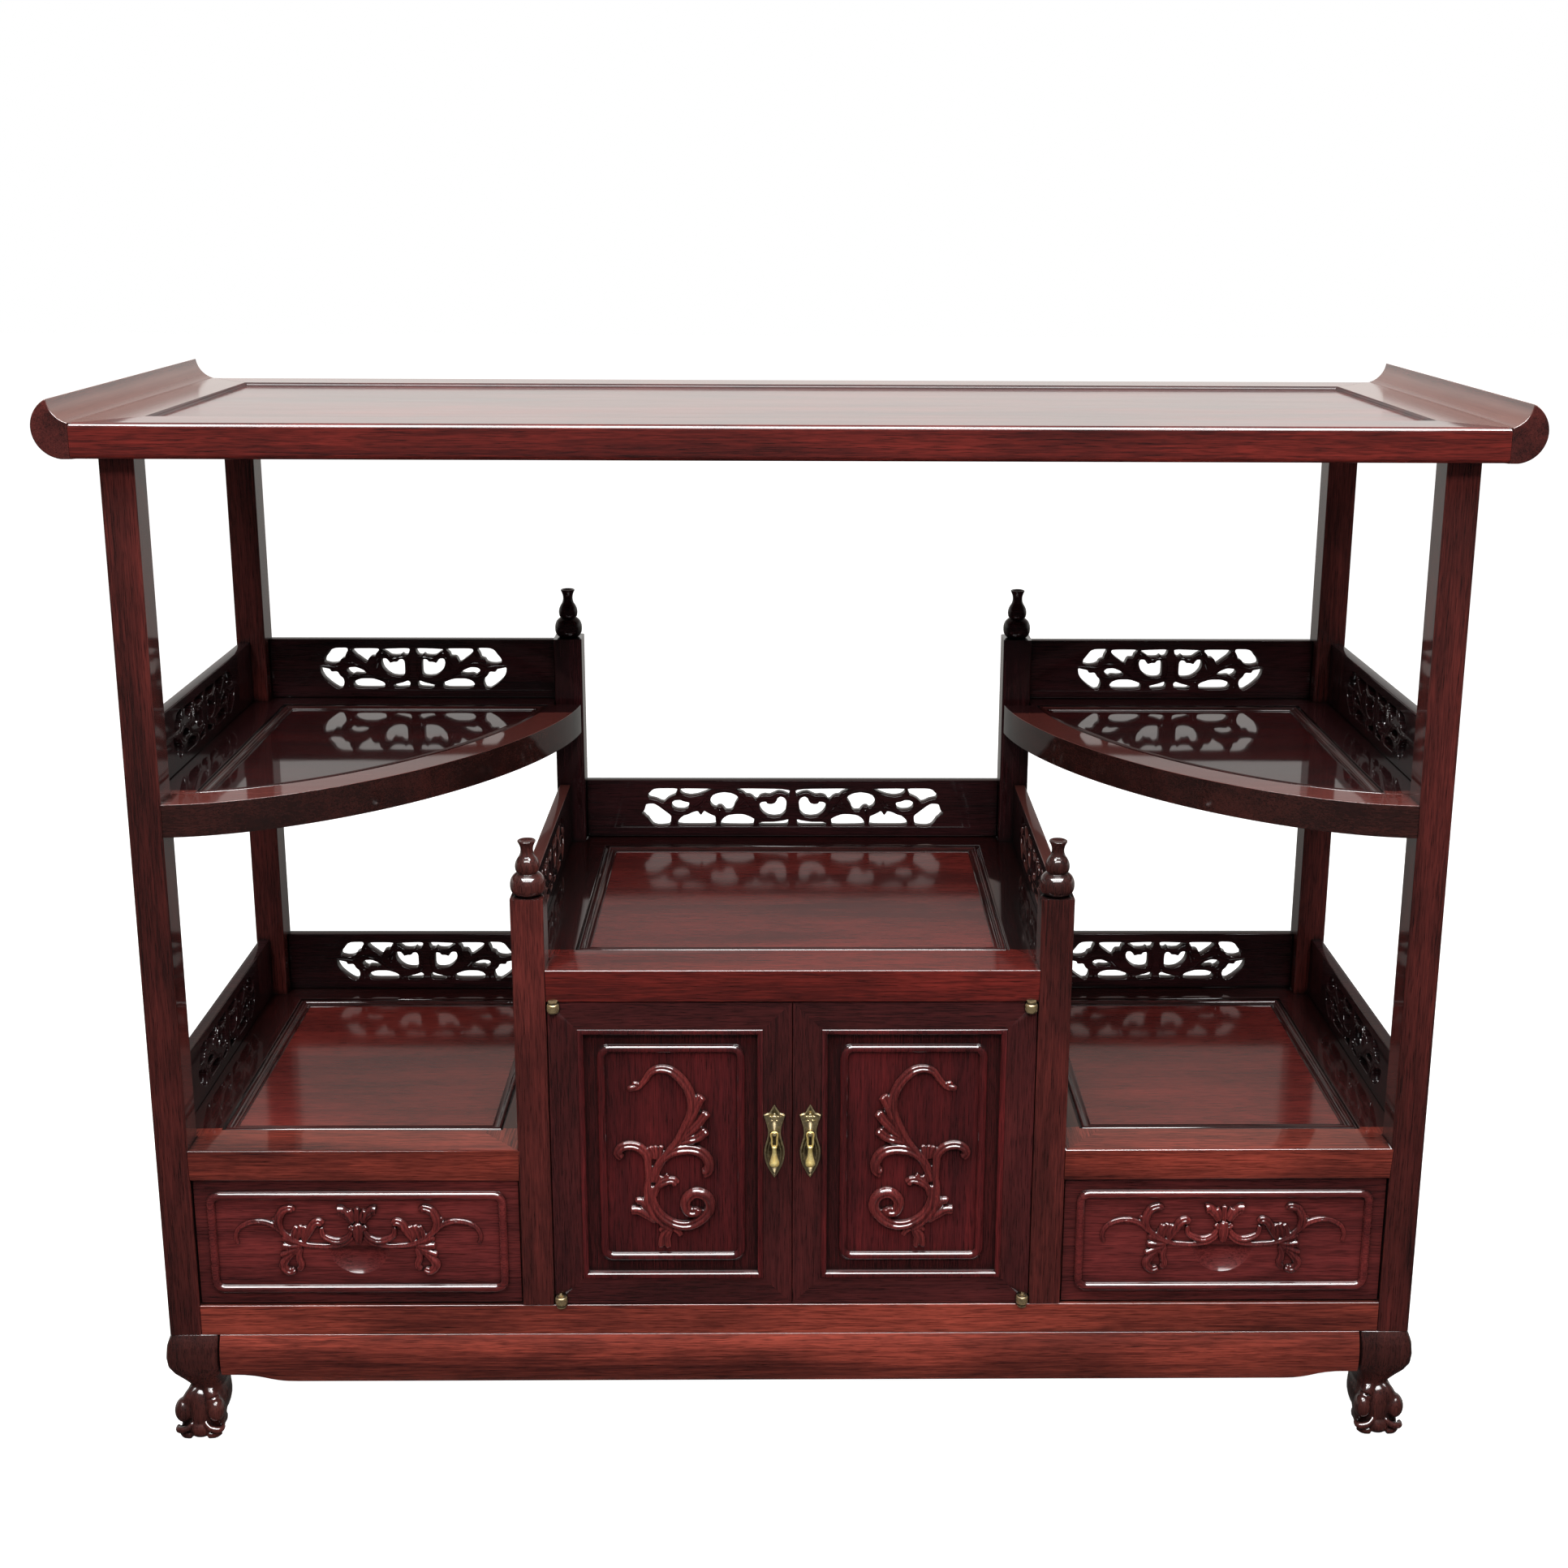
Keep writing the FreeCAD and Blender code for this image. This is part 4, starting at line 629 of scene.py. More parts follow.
LONG_RIBS = [
    [(52, 178), (95, 176), (135, 195), (165, 220), (200, 236), (250, 236), (300, 212), (340, 180),
     (375, 140), (430, 122), (490, 130), (540, 165), (580, 215), (630, 258), (690, 266),
     (748, 240)],
    [(165, 200), (172, 170), (210, 160), (260, 165), (330, 160)], [(215, 150), (218, 118)],
    [(275, 205), (310, 190), (345, 155)], [(290, 220), (325, 200), (355, 165)],
    [(500, 200), (530, 180), (545, 165)], [(505, 212), (545, 200), (562, 185)],
    [(510, 225), (560, 222), (590, 232)],
    [(590, 185), (600, 165), (630, 158), (670, 165), (700, 145), (735, 150), (748, 170)],
    [(420, 215), (410, 235), (405, 292)], [(198, 245), (195, 293)], [(595, 260), (592, 295)],
]
LONG_MIDDLE, LONG_FOOT, LONG_LENGTH, LONG_HEIGHT = 768, 305, 728, 190
LONG_HALF = 154.0
LONG_FRET = (LONG_OPENINGS, LONG_RIBS, LONG_MIDDLE, LONG_FOOT, LONG_LENGTH, LONG_HEIGHT, LONG_HALF)
print("openings in the long gallery:", 2 * len(LONG_OPENINGS))


# %% Plates cut from an outline
def corners_cut(points, times=2, keep=0.82):
    """Rounds an outline by cutting its corners again and again, so it never swells past them."""
    for _ in range(times):
        finer = []
        for (x_1, y_1), (x_2, y_2) in zip(points, points[1:] + points[:1]):
            finer += [(keep * x_1 + (1 - keep) * x_2, keep * y_1 + (1 - keep) * y_2),
                      ((1 - keep) * x_1 + keep * x_2, (1 - keep) * y_1 + keep * y_2)]
        points = finer
    return points


def closed_spline(curve, points):
    spline = curve.splines.new("POLY")
    spline.points.add(len(points) - 1)
    for knot, (along, up) in zip(spline.points, points):
        knot.co = (along * MM, up * MM, 0, 1)
    spline.use_cyclic_u = True


def cut_plate(outline, holes, thick, edge, place):
    """Points and faces of a flat plate with holes and rounded edges, drawn in X and Y."""
    curve = bpy.data.curves.new("plate", "CURVE")
    curve.dimensions, curve.fill_mode = "2D", "BOTH"
    curve.extrude, curve.bevel_depth, curve.offset = (thick / 2 - edge) * MM, edge * MM, -edge * MM
    curve.bevel_resolution = 2
    closed_spline(curve, outline)
    for hole in holes:
        closed_spline(curve, corners_cut(hole))
    drawn = bpy.data.objects.new("plate", curve)
    bpy.context.scene.collection.objects.link(drawn)
    mesh = bpy.data.meshes.new_from_object(
        drawn.evaluated_get(bpy.context.evaluated_depsgraph_get()))
    bpy.data.objects.remove(drawn)
    bpy.data.curves.remove(curve)
    return [place @ vert.co for vert in mesh.vertices], [tuple(f.vertices) for f in mesh.polygons]


def joined(name, parts, material):
    """One smooth object from several (points, faces) lists."""
    verts, faces = [], []
    for part_verts, part_faces in parts:
        faces += [tuple(len(verts) + index for index in face) for face in part_faces]
        verts += part_verts
    return mesh_object(name, verts, faces, material, smooth=True)


def crisp(piece, angle):
    """Keeps an edge crisp where the surface turns by more than an angle."""
    piece.data.set_sharp_from_angle(angle=math.radians(angle))


def tell(title, pieces):
    faces = sum(len(piece.data.polygons) for piece in pieces)
    print(title + ":", len(pieces), "pieces with", faces, "faces")


# %% Lines and tubes
SAME_PLACE, STEEP, HORN_END = 1e-9, 0.9, 0.08


def curve_through(points, steps=6, closed=False):
    """A smooth line through the given points; a point given twice makes a corner."""
    points = [Vector(point) for point in points]
    count = len(points)
    line = []
    for index in range(count if closed else count - 1):
        before = points[(index - 1) % count] if closed or index else points[0]
        start, end = points[index], points[(index + 1) % count]
        after = points[(index + 2) % count] if closed or index + 2 < count else end
        if start == end:
            continue
        for step in range(steps):
            share = step / steps
            point = 0.5 * (2 * start + (end - before) * share
                           + (2 * before - 5 * start + 4 * end - after) * share ** 2
                           + (3 * start - before - 3 * end + after) * share ** 3)
            if not line or (point - line[-1]).length > SAME_PLACE:
                line.append(point)
    return line if closed else line + [points[-1]]


def ring_faces(rings, around, closed=False):
    """Faces from each ring of points to the next; a closed row also joins the last to the first."""
    return [(ring * around + slot, ring * around + (slot + 1) % around,
             (ring + 1) % rings * around + (slot + 1) % around, (ring + 1) % rings * around + slot)
            for ring in range(rings if closed else rings - 1) for slot in range(around)]


def tube_faces(rings, around):
    last = (rings - 1) * around
    ends = [tuple(reversed(range(around))), tuple(last + slot for slot in range(around))]
    return ring_faces(rings, around) + ends


def way_along(line, index):
    return (line[min(index + 1, len(line) - 1)] - line[max(index - 1, 0)]).normalized()


def horn(points, width, around=10, thin=0.25):
    """A tapered tube through points, thick in the middle."""
    line = curve_through(points)
    verts = []
    for index, point in enumerate(line):
        way = way_along(line, index)
        side = way.cross(Z if abs(way.z) < STEEP else Y).normalized()
        up = side.cross(way)
        share = HORN_END + (1 - 2 * HORN_END) * index / (len(line) - 1)
        radius = width * (thin + (1 - thin) * math.sin(math.pi * share))
        angles = [2 * math.pi * step / around for step in range(around)]
        verts += [point + radius * (side * math.cos(angle) + up * math.sin(angle))
                  for angle in angles]
    return verts, tube_faces(len(line), around)


# %% Gallery boards
GALLERY_THICK, CARVED_EDGE = 11 * MM, 1.1
FRET_HIGH, FRET_FOOT = 42.5, 8.8
RIB_WIDTH, RIB_SINK, RIB_AROUND = 1.5, 0.6, 8
POST_INNER, INNER_POST_OUTER = 522 * MM, 237.5 * MM
between_posts = (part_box("front_left_post")[1][1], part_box("back_left_post")[0][1])


def gallery_board(low, high, fret, along_y=False, inner_side=1):
    """One pierced board with carved ribs on its inner face."""
    openings, ribs, middle, foot, drawn_half, drawn_high, half = fret
    run, depth = (1, 0) if along_y else (0, 1)
    length, height, thick = ((high[axis] - low[axis]) / MM for axis in (run, 2, depth))
    centre = (low[depth] + high[depth]) / 2

    def on_board(point, mirror):
        return (length / 2 + mirror * (middle - point[0]) * half / drawn_half,
                FRET_FOOT + (foot - point[1]) * FRET_HIGH / drawn_high)

    corners = [(0, 0), (length, 0), (length, height), (0, height)]
    holes = [[on_board(point, mirror) for point in opening]
             for opening in openings for mirror in (-1, 1)]
    if along_y:
        turned = Matrix(((0, 0, 1, centre), (1, 0, 0, low[1]), (0, 1, 0, low[2]), (0, 0, 0, 1)))
    else:
        turned = Matrix(((1, 0, 0, low[0]), (0, 0, -1, centre), (0, 1, 0, low[2]), (0, 0, 0, 1)))
    parts = [cut_plate(corners, holes, thick, CARVED_EDGE, turned)]
    face = inner_side * (thick / 2 - RIB_SINK) * MM
    for rib in ribs:
        for mirror in (-1, 1):
            line = [turned @ Vector((*(value * MM for value in on_board(point, mirror)), face))
                    for point in rib]
            parts.append(horn(line, RIB_WIDTH * MM, around=RIB_AROUND))
    return parts


def side_board(node, edge, inner_side):
    low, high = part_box(node)
    return gallery_board((edge, between_posts[0], low[2]),
                         (edge + GALLERY_THICK, between_posts[1], high[2]),
                         SHORT_FRET, True, inner_side)


def finished_gallery(name, boards, material):
    piece = joined(name, boards, material)
    crisp(piece, CRISP_ANGLE)
    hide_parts(name)
    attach(piece, "carcass")
    return piece


galleries = []
for side_name, way in SIDES:
    for shelf in ("fan", "lower"):
        node = side_name + "_" + shelf + "_gallery"
        low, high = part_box(node)
        x_low, x_high = sorted((way * POST_INNER, way * INNER_POST_OUTER))
        back = gallery_board((x_low, high[1] - GALLERY_THICK, low[2]), (x_high, high[1], high[2]),
                             SHORT_FRET)
        edge = low[0] if way < 0 else high[0] - GALLERY_THICK
        galleries.append(finished_gallery(node, back + side_board(node, edge, -way), night_wood))
low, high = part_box("middle_side_galleries")
boards = side_board("middle_side_galleries", low[0], 1)
boards += side_board("middle_side_galleries", high[0] - GALLERY_THICK, -1)
galleries.append(finished_gallery("middle_side_galleries", boards, night_side_wood))
board = gallery_board(*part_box("middle_back_gallery"), LONG_FRET)
galleries.append(finished_gallery("middle_back_gallery", board, night_wood))
tell("galleries", galleries)

# %% [markdown]
# ## Turned finials
#
# Each inner post ends in a turned double gourd: a wide lower bulb, a crease, a smaller bulb, a
# slim neck and a flared lip with a hollow top. A turned piece is one outline spun round an axis,
# so it is built that way.

# %% Finials
# Shares of the finial's radius and of its height.
FINIAL_OUTLINE = [
    (0.0, 0.0), (0.60, 0.0), (0.84, 0.04), (0.97, 0.11), (1.0, 0.19), (0.97, 0.27), (0.86, 0.345),
    (0.68, 0.395), (0.585, 0.41), (0.60, 0.425), (0.665, 0.465), (0.69, 0.53), (0.655, 0.60),
    (0.56, 0.665), (0.44, 0.72), (0.37, 0.78), (0.355, 0.84), (0.39, 0.90), (0.46, 0.95),
    (0.51, 0.98), (0.50, 0.998), (0.43, 1.0), (0.34, 0.985), (0.20, 0.97), (0.0, 0.965),
]
FINIAL_HEIGHT, TURNING_STEPS = 48 * MM, 48


def spun(outline, centre, steps=TURNING_STEPS):
    """Points and faces of an outline of (radius, height) spun round an upright axis."""
    verts = [centre + Vector((radius * math.cos(2 * math.pi * step / steps),
                              radius * math.sin(2 * math.pi * step / steps), height))
             for radius, height in outline for step in range(steps)]
    return verts, ring_faces(len(outline), steps)


def smooth_outline(points, wide, high):
    """A finer outline of (radius, height), scaled; its radius never falls below nought."""
    line = curve_through([(across, up, 0) for across, up in points], 3)
    return [(max(point.x * wide, 0), point.y * high) for point in line]


finials = []
for corner in ("front_left", "front_right", "back_left", "back_right"):
    node = corner + "_finial"
    low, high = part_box(node)
    foot = Vector(((low[0] + high[0]) / 2, (low[1] + high[1]) / 2, high[2] - FINIAL_HEIGHT))
    outline = smooth_outline(FINIAL_OUTLINE, (high[0] - low[0]) / 2, FINIAL_HEIGHT)
    wood = turned_wood if corner.startswith("front") else night_wood
    piece = weld(joined(node, [spun(outline, foot)], wood))
    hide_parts(node)
    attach(piece, "carcass")
    finials.append(piece)
tell("finials", finials)

# %% [markdown]
# ## Beads and mouldings
#
# Thin rounded beads frame every panel: on the shelves, round the fan's curve, inside the door
# frames and as raised rectangles on doors and drawers. Each is one small section carried along a
# path with proper mitres, as a moulding plane or a scratch stock would cut it.


# %% Carried sections
SHARPEST_MITRE, BEAD_ANGLE = 0.3, 50


def carried(path, section, up):
    """Carries a section of (sideways, upwards) points, in millimetres, round a closed flat path.

    Sideways is to the path's right.
    """
    verts = []
    for index, point in enumerate(path):
        into = (point - path[index - 1]).normalized()
        out = (path[(index + 1) % len(path)] - point).normalized()
        right = (into.cross(up) + out.cross(up)).normalized()
        stretch = 1 / max(right.dot(into.cross(up)), SHARPEST_MITRE)
        verts += [point + right * side * MM * stretch + up * rise * MM for side, rise in section]
    return verts, ring_faces(len(path), len(section), closed=True)


def half_round(width, height, sink=0.4, steps=8, centre=0.0):
    """A raised bead's section, sunk a little into the wood below it."""
    arch = [(centre + width / 2 * math.cos(math.pi * step / steps),
             height * math.sin(math.pi * step / steps)) for step in range(steps + 1)]
    return [(centre + width / 2, -sink)] + arch + [(centre - width / 2, -sink)]


def rectangle(low_1, low_2, high_1, high_2, level, upright=False):
    """Corner points, anticlockwise seen from the face; upright ones face the front."""
    corners = [(low_1, low_2), (high_1, low_2), (high_1, high_2), (low_1, high_2)]
    return [Vector((a, level, b)) if upright else Vector((a, b, level)) for a, b in corners]


def rounded_rectangle(low_1, low_2, high_1, high_2, level, corner, steps=6):
    points = []
    for centre_1, centre_2, start in ((high_1 - corner, low_2 + corner, -90),
                                      (high_1 - corner, high_2 - corner, 0),
                                      (low_1 + corner, high_2 - corner, 90),
                                      (low_1 + corner, low_2 + corner, 180)):
        for step in range(steps + 1):
            angle = math.radians(start + 90 * step / steps)
            points.append(Vector((centre_1 + corner * math.cos(angle), level,
                                  centre_2 + corner * math.sin(angle))))
    return points


mouldings = []


def moulding(name, part, material, body="carcass"):
    piece = joined(name, [part], material)
    crisp(piece, BEAD_ANGLE)
    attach(piece, body)
    mouldings.append(piece)


# %% Beads round shelves and panels
# Sections are in millimetres. Each path: its inner and outer edge, its front and its back.
SHELF_BEAD = [
    (1.0, -0.6), (1.0, 0.5), (0.5, 1.0), (-0.3, 1.0), (-1.0, 0.4), (-1.9, 0.3), (-2.4, 1.6),
    (-3.2, 2.6), (-4.3, 3.0), (-5.4, 2.6), (-6.2, 1.6), (-6.8, 0.7), (-8.2, 0.5), (-9.6, 0.7),
    (-10.6, 1.3), (-11.4, 1.3), (-11.8, 0.5), (-11.8, -0.6),
]
COVE = [
    (0.3, -3.4), (0.3, 0.0), (-0.6, -0.1), (-1.5, -0.7), (-2.3, -1.8), (-3.1, -2.6), (-4.4, -2.95),
    (-4.4, -3.4),
]
SHELF_PATH, MIDDLE_PATH = (255.5, 504, -135, 150), (-188.5, 188.5, -128, 150)
COVE_PATH = (-519.5, 519.5, -148, 142)
shelf_level, middle_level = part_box("left_shelf_panel")[1][2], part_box("middle_top_panel")[1][2]
fan_level, top_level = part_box("left_fan_panel")[1][2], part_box("top_front_rail")[1][2]
# The beads' dark wood is painted shade of their grooves.
for side_name, way in SIDES:
    path = rectangle(*span(way, *SHELF_PATH), shelf_level)
    moulding(side_name + "_shelf_bead", carried(path, SHELF_BEAD, Z), bead_shade_wood)
path = rectangle(*span(1, *MIDDLE_PATH), middle_level)
moulding("middle_bead", carried(path, SHELF_BEAD, Z), bead_shade_wood)
# The cove's dark wood is painted shade.
path = rectangle(*span(1, *COVE_PATH), top_level)
moulding("top_cove", carried(path, COVE, Z), groove_shade_wood)

# %% The fan shelves' curved bead
FAN_CENTRE, FAN_REACH, FAN_DEPTH, FAN_POWER = (522, 162), 312.5, 336.0, 1.2
FAN_INSET, FAN_SIDE_LIMIT, FAN_BACK_LIMIT, FAN_STEPS = 32.0, 504.0, 150.0, 60
arc = []
for step in range(FAN_STEPS + 1):
    angle = math.pi / 2 * step / FAN_STEPS
    across = (FAN_REACH - FAN_INSET) * abs(math.cos(angle)) ** FAN_POWER
    deep = (FAN_DEPTH - FAN_INSET) * abs(math.sin(angle)) ** FAN_POWER
    arc.append((FAN_CENTRE[0] - across, FAN_CENTRE[1] - deep))
arc = [(x, y) for x, y in arc if x < FAN_SIDE_LIMIT and y < FAN_BACK_LIMIT]
arc += [(FAN_SIDE_LIMIT, arc[-1][1]), (FAN_SIDE_LIMIT, FAN_BACK_LIMIT), (arc[0][0], FAN_BACK_LIMIT)]
for side_name, way in SIDES:
    path = [Vector((way * x * MM, y * MM, fan_level)) for x, y in arc]
    if way < 0:
        path.reverse()
    moulding(side_name + "_fan_bead", carried(path, SHELF_BEAD, Z), bead_shade_wood)

# %% Beads on doors and drawers
FRAME_BEAD = [
    (1.2, -0.6), (1.2, 0.3), (0.5, 1.1), (-0.8, 1.6), (-2.2, 1.4), (-3.4, 0.4), (-4.0, -1.2),
    (-4.2, -5.4), (1.2, -5.4),
]
DOOR_OPENING = (26.4, 182.7, 159.3, 393.2)
RING_BEAD, RING_CORNER = half_round(width=7.6, height=4.2), 8 * MM
DOOR_FRONT, DOOR_FIELD, DRAWER_FIELD = -173 * MM, -168 * MM, -170.4 * MM
for side_name, way in SIDES:
    body = side_name + "_door"
    path = rectangle(*span(way, *DOOR_OPENING), DOOR_FRONT, True)
    moulding(body + "_bead", carried(path, FRAME_BEAD, -Y), door_wood, body)
    for kind, ring, level, wood in (("_door", DOOR_RING, DOOR_FIELD, door_wood),
                                    ("_drawer", DRAWER_RING, DRAWER_FIELD, drawer_wood)):
        path = rounded_rectangle(*span(way, *ring), level, RING_CORNER)
        moulding(side_name + kind + "_ring", carried(path, RING_BEAD, -Y), wood, side_name + kind)
tell("mouldings", mouldings)

# %% [markdown]
# ## Carved scrolls
#
# Doors and drawers carry leafy scrolls carved in low relief. A carver leaves rounded stems that
# swell, taper and curl, with leaves growing out of them. Each stem is one stroke: a line through a
# few points with its own thickness. The strokes are fused into one skin and smoothed, so they grow
# into each other like carved wood.

# %% The doors' strokes
# Each stroke: its thickest half width, its points (sideways and up from the field's middle, in
# millimetres), and the shares of the thickness at its start and end.
DOOR_STROKES = [
    (1.9, [(-28, 64), (-34, 62), (-38, 61)], 0.8, 0.7),
    (1.5, [(-27, 64), (-31, 66), (-34, 65)], 0.8, 0.5),
    (2.9, [(-33, 61), (-28, 63), (-22, 70), (-17, 77), (-9, 80), (0, 78), (8, 71), (14, 62),
     (17.5, 51), (17, 39), (12, 26), (5, 12), (-4, 0), (-12, -13), (-17, -28)], 0.5, 0.7),
    (2.8, [(8, 18), (14, 28), (20, 41), (24, 50), (27, 55)], 0.5, 1.1),
    (2.8, [(8, 14), (17, 22), (25, 31), (31, 40)], 0.5, 1.1),
    (2.9, [(6, 10), (14, 13), (23, 16), (31, 23)], 0.5, 1.1),
    (2.8, [(-43, -4), (-47, 1), (-43, 6.5), (-35, 8), (-27, 5), (-22, -2), (-21, -12), (-21, -26)],
     0.9, 0.7),
    (1.5, [(-15, -6), (-17, 2), (-20, 7)], 0.7, 1.0),
    (1.5, [(-14, -6), (-14, 2), (-15, 8)], 0.7, 1.0),
    (1.5, [(-12, -6), (-10, 2), (-9, 8)], 0.7, 1.0),
    (3.2, [(-15, -20), (-13, -12), (-7, -4), (1, 2), (11, 4.5), (21, 3.5), (28, -1), (32, -9),
     (31, -16), (26, -18)], 0.6, 1.0),
    (1.5, [(-6, 1), (3, 6), (12, 9), (20, 8)], 0.6, 0.9),
    (2.5, [(-16, -42), (-13, -32), (-7, -27), (0, -25.5), (4, -29)], 0.6, 1.1),
    (1.6, [(-13, -34), (-12, -26), (-9, -21)], 0.6, 1.0),
    (1.6, [(-9, -29), (-6, -23), (-3, -20)], 0.6, 1.0),
    (3.2, [(-17, -30), (-17, -43), (-14, -53), (-7, -62), (4, -68), (16, -68), (27, -61), (33, -51),
     (30, -41), (21, -37), (14, -41), (11, -48), (14, -55), (20, -55.5), (22, -51)], 0.6, 1.0),
    (2.6, [(-20, -20), (-22, -34), (-21, -46), (-17, -57), (-9, -67), (0, -73)], 0.7, 0.6),
    (2.6, [(-14, -66), (-22, -59), (-30, -54), (-37, -54)], 0.6, 1.1),
    (2.2, [(-17, -60), (-22, -51), (-28, -45), (-32, -46)], 0.6, 1.0),
    (2.0, [(-4, -72), (-9, -79), (-11, -91)], 0.8, 0.8),
    (2.0, [(-2, -73), (-5, -81), (-4, -91)], 0.8, 0.9),
    (1.8, [(-4, -72), (-9, -72), (-11, -75)], 0.8, 0.8),
    (1.8, [(0, -72), (5, -75), (7, -79)], 0.8, 1.0),
]
print("strokes on a door:", len(DOOR_STROKES))

# %% The drawers' strokes
DRAWER_STROKES = [
    (2.0, [(-105, -2), (-107, 5), (-104, 13), (-97, 18), (-89, 20), (-81, 19.5), (-73, 16),
     (-65, 9), (-57, 2.5), (-47, -2), (-36, -3.5), (-24, -3.5), (-12, -1), (-4, 6)], 0.7, 0.8),
    (3.0, [(-60, 4), (-67, 12), (-69, 21), (-65, 30), (-58, 33), (-56, 30)], 0.5, 0.8),
    (1.5, [(-68, 17), (-72, 21), (-74, 24)], 0.7, 1.0),
    (1.9, [(-57, 3), (-56, 10), (-53, 16)], 0.6, 1.0),
    (1.9, [(-53, 2), (-52, 10), (-49, 17)], 0.6, 1.0),
    (1.9, [(-48, 1), (-48, 9), (-45, 16)], 0.6, 1.0),
    (3.0, [(-48, 0), (-43, 9), (-39, 17), (-34, 20), (-31, 17)], 0.5, 0.9),
    (2.4, [(-32, 15), (-31, 7), (-24, 2.5), (-16, 1.5), (-9, 5), (-5, 11)], 0.6, 0.7),
    (2.2, [(-49, -2), (-58, 1), (-67, 5)], 0.6, 1.0),
    (2.4, [(-49, -3), (-58, -4), (-68, -3)], 0.6, 1.0),
    (2.4, [(-50, -4), (-60, -9), (-69, -13)], 0.6, 1.0),
    (3.0, [(-51, -5), (-62, -14), (-67, -22), (-62, -28), (-56, -26)], 0.5, 0.8),
    (2.4, [(-50, -5), (-53, -14), (-51, -22), (-54, -27)], 0.6, 0.8),
    (3.2, [(-4, 18), (-8, 26), (-13, 31), (-17, 31)], 0.6, 1.2),
    (2.4, [(-2, 20), (-5, 27), (-8, 31)], 0.6, 1.1), (2.2, [(-8, 16), (-4, 13), (0, 15)], 0.9, 1.0),
]
MIDDLE_STROKES = [
    (2.0, [(0, 16), (0, 26), (0, 34)], 0.7, 0.9),
    (3.6, [(0, 19), (0, 13), (0, 5), (0, -2)], 0.8, 0.5),
]
print("strokes on a drawer:", 2 * len(DRAWER_STROKES) + len(MIDDLE_STROKES))

# %% Carvings
CARVING_RELIEF, FLUTE_DEEP, FLUTE_PLACE, FLUTE_WIDE = 1.15, 0.32, 0.30, 0.24
DOOR_SWELL, DRAWER_SWELL, SWELL_RUN, CAP_RUN, CAP_LEAST = 1.6, 1.38, 0.4, 1.6, 0.02
STROKE_STEPS, STROKE_AROUND = 7, 24
# Middles of the right door's and drawer's carving, across and up, in millimetres.
DOOR_CARVING, DRAWER_CARVING = (104.55, 276.2), (379.75, 193)


def stroke(points, width, start, end, centre, mirror):
    """A tapered, rounded stem with a shallow flute, on an upright face that looks to the front."""
    line = curve_through([(mirror * across * MM, 0, up * MM) for across, up in points],
                         STROKE_STEPS)
    last = len(line) - 1
    verts = []
    for index, point in enumerate(line):
        share = index / last
        near, thin = (share, start) if share < 0.5 else (1 - share, end)
        swell = thin + (1 - thin) * min(near / SWELL_RUN, 1)
        cap = min(1, math.sqrt(max(CAP_LEAST, min(index, last - index) / CAP_RUN)))
        radius = width * swell * cap * MM
        flat = way_along(line, index).cross(Y)
        for side_step in range(STROKE_AROUND):
            angle = 2 * math.pi * side_step / STROKE_AROUND
            across = math.cos(angle)
            flute = 1 - FLUTE_DEEP * math.exp(-((across - mirror * FLUTE_PLACE) / FLUTE_WIDE) ** 2)
            rise = radius * CARVING_RELIEF * math.sin(angle) * flute
            verts.append(centre + point + flat * radius * across - Y * rise)
    return verts, tube_faces(len(line), STROKE_AROUND)


def fused(piece, voxel, smoothing):
    """Melts overlapping parts into one skin and smooths it."""
    melt = piece.modifiers.new("melt", "REMESH")
    melt.mode, melt.voxel_size, melt.use_smooth_shade = "VOXEL", voxel * MM, True
    soften = piece.modifiers.new("soften", "SMOOTH")
    soften.factor, soften.iterations = 0.5, smoothing
    return piece


carvings = []


def carving(name, strokes, centre, mirrors, body, all_swell):
    parts = [stroke(points, all_swell * width, start, end, centre, mirror)
             for width, points, start, end in strokes for mirror in mirrors]
    piece = fused(joined(name, parts, carved_wood), voxel=0.5, smoothing=2)
    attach(piece, body)
    carvings.append(piece)


for side_name, way in SIDES:
    across, up = DOOR_CARVING
    middle = Vector((way * across * MM, DOOR_FIELD, up * MM))
    body = side_name + "_door"
    carving(body + "_carving", DOOR_STROKES, middle, (-way,), body, DOOR_SWELL)
    across, up = DRAWER_CARVING
    middle = Vector((way * across * MM, DRAWER_FIELD, up * MM))
    body = side_name + "_drawer"
    carving(body + "_carving", DRAWER_STROKES, middle, (-1, 1), body, DRAWER_SWELL)
    carving(body + "_bud", MIDDLE_STROKES, middle, (1,), body, DRAWER_SWELL)
tell("carvings", carvings)

# %% [markdown]
# ## Claw feet
#
# Each leg is one block carved into a rounded knee, a narrow ankle and a paw with two round
# knuckles, a broad middle toe and curved claws. A carver works such a foot out of overlapping
# rounds, so it is built the same way: a body of stacked sections, with swellings added, fused and
# smoothed.

# %% Parts of a leg
LEG_WIDE, SECTION_STEPS = 50.0, 40
# Sections of the leg's body from the floor up: height, outer edge, inner edge, front, back,
# squareness. The edges are measured in from the leg's widest faces.
LEG_SECTIONS = [
    (0.6, 9, 7, 8, 24, 3.4), (8, 7, 5, 6, 22, 3.0), (18, 8, 4, 6, 18, 2.6),
    (28, 9, 2.5, 6, 10, 2.6), (37, 11, 2, 8, 4, 2.8), (43, 14.5, 3, 10, 1.5, 2.8),
    (47, 16, 4, 11, 0.6, 3.0), (51, 14.2, 4, 10.5, 0.5, 3.4), (58, 9.4, 3, 7.5, 0.5, 4.4),
    (65, 4.8, 1, 4, 0.5, 6.0), (73, 1.2, 0.5, 1.2, 0.5, 7.0), (82, 0.3, 0.5, 0.4, 0.5, 7.0),
    (93, 1.6, 0.5, 1.6, 0.5, 8.0), (99, 3.6, 0.5, 3.6, 0.5, 9.0), (104, 6.0, 0.5, 6.0, 0.5, 10.0),
]
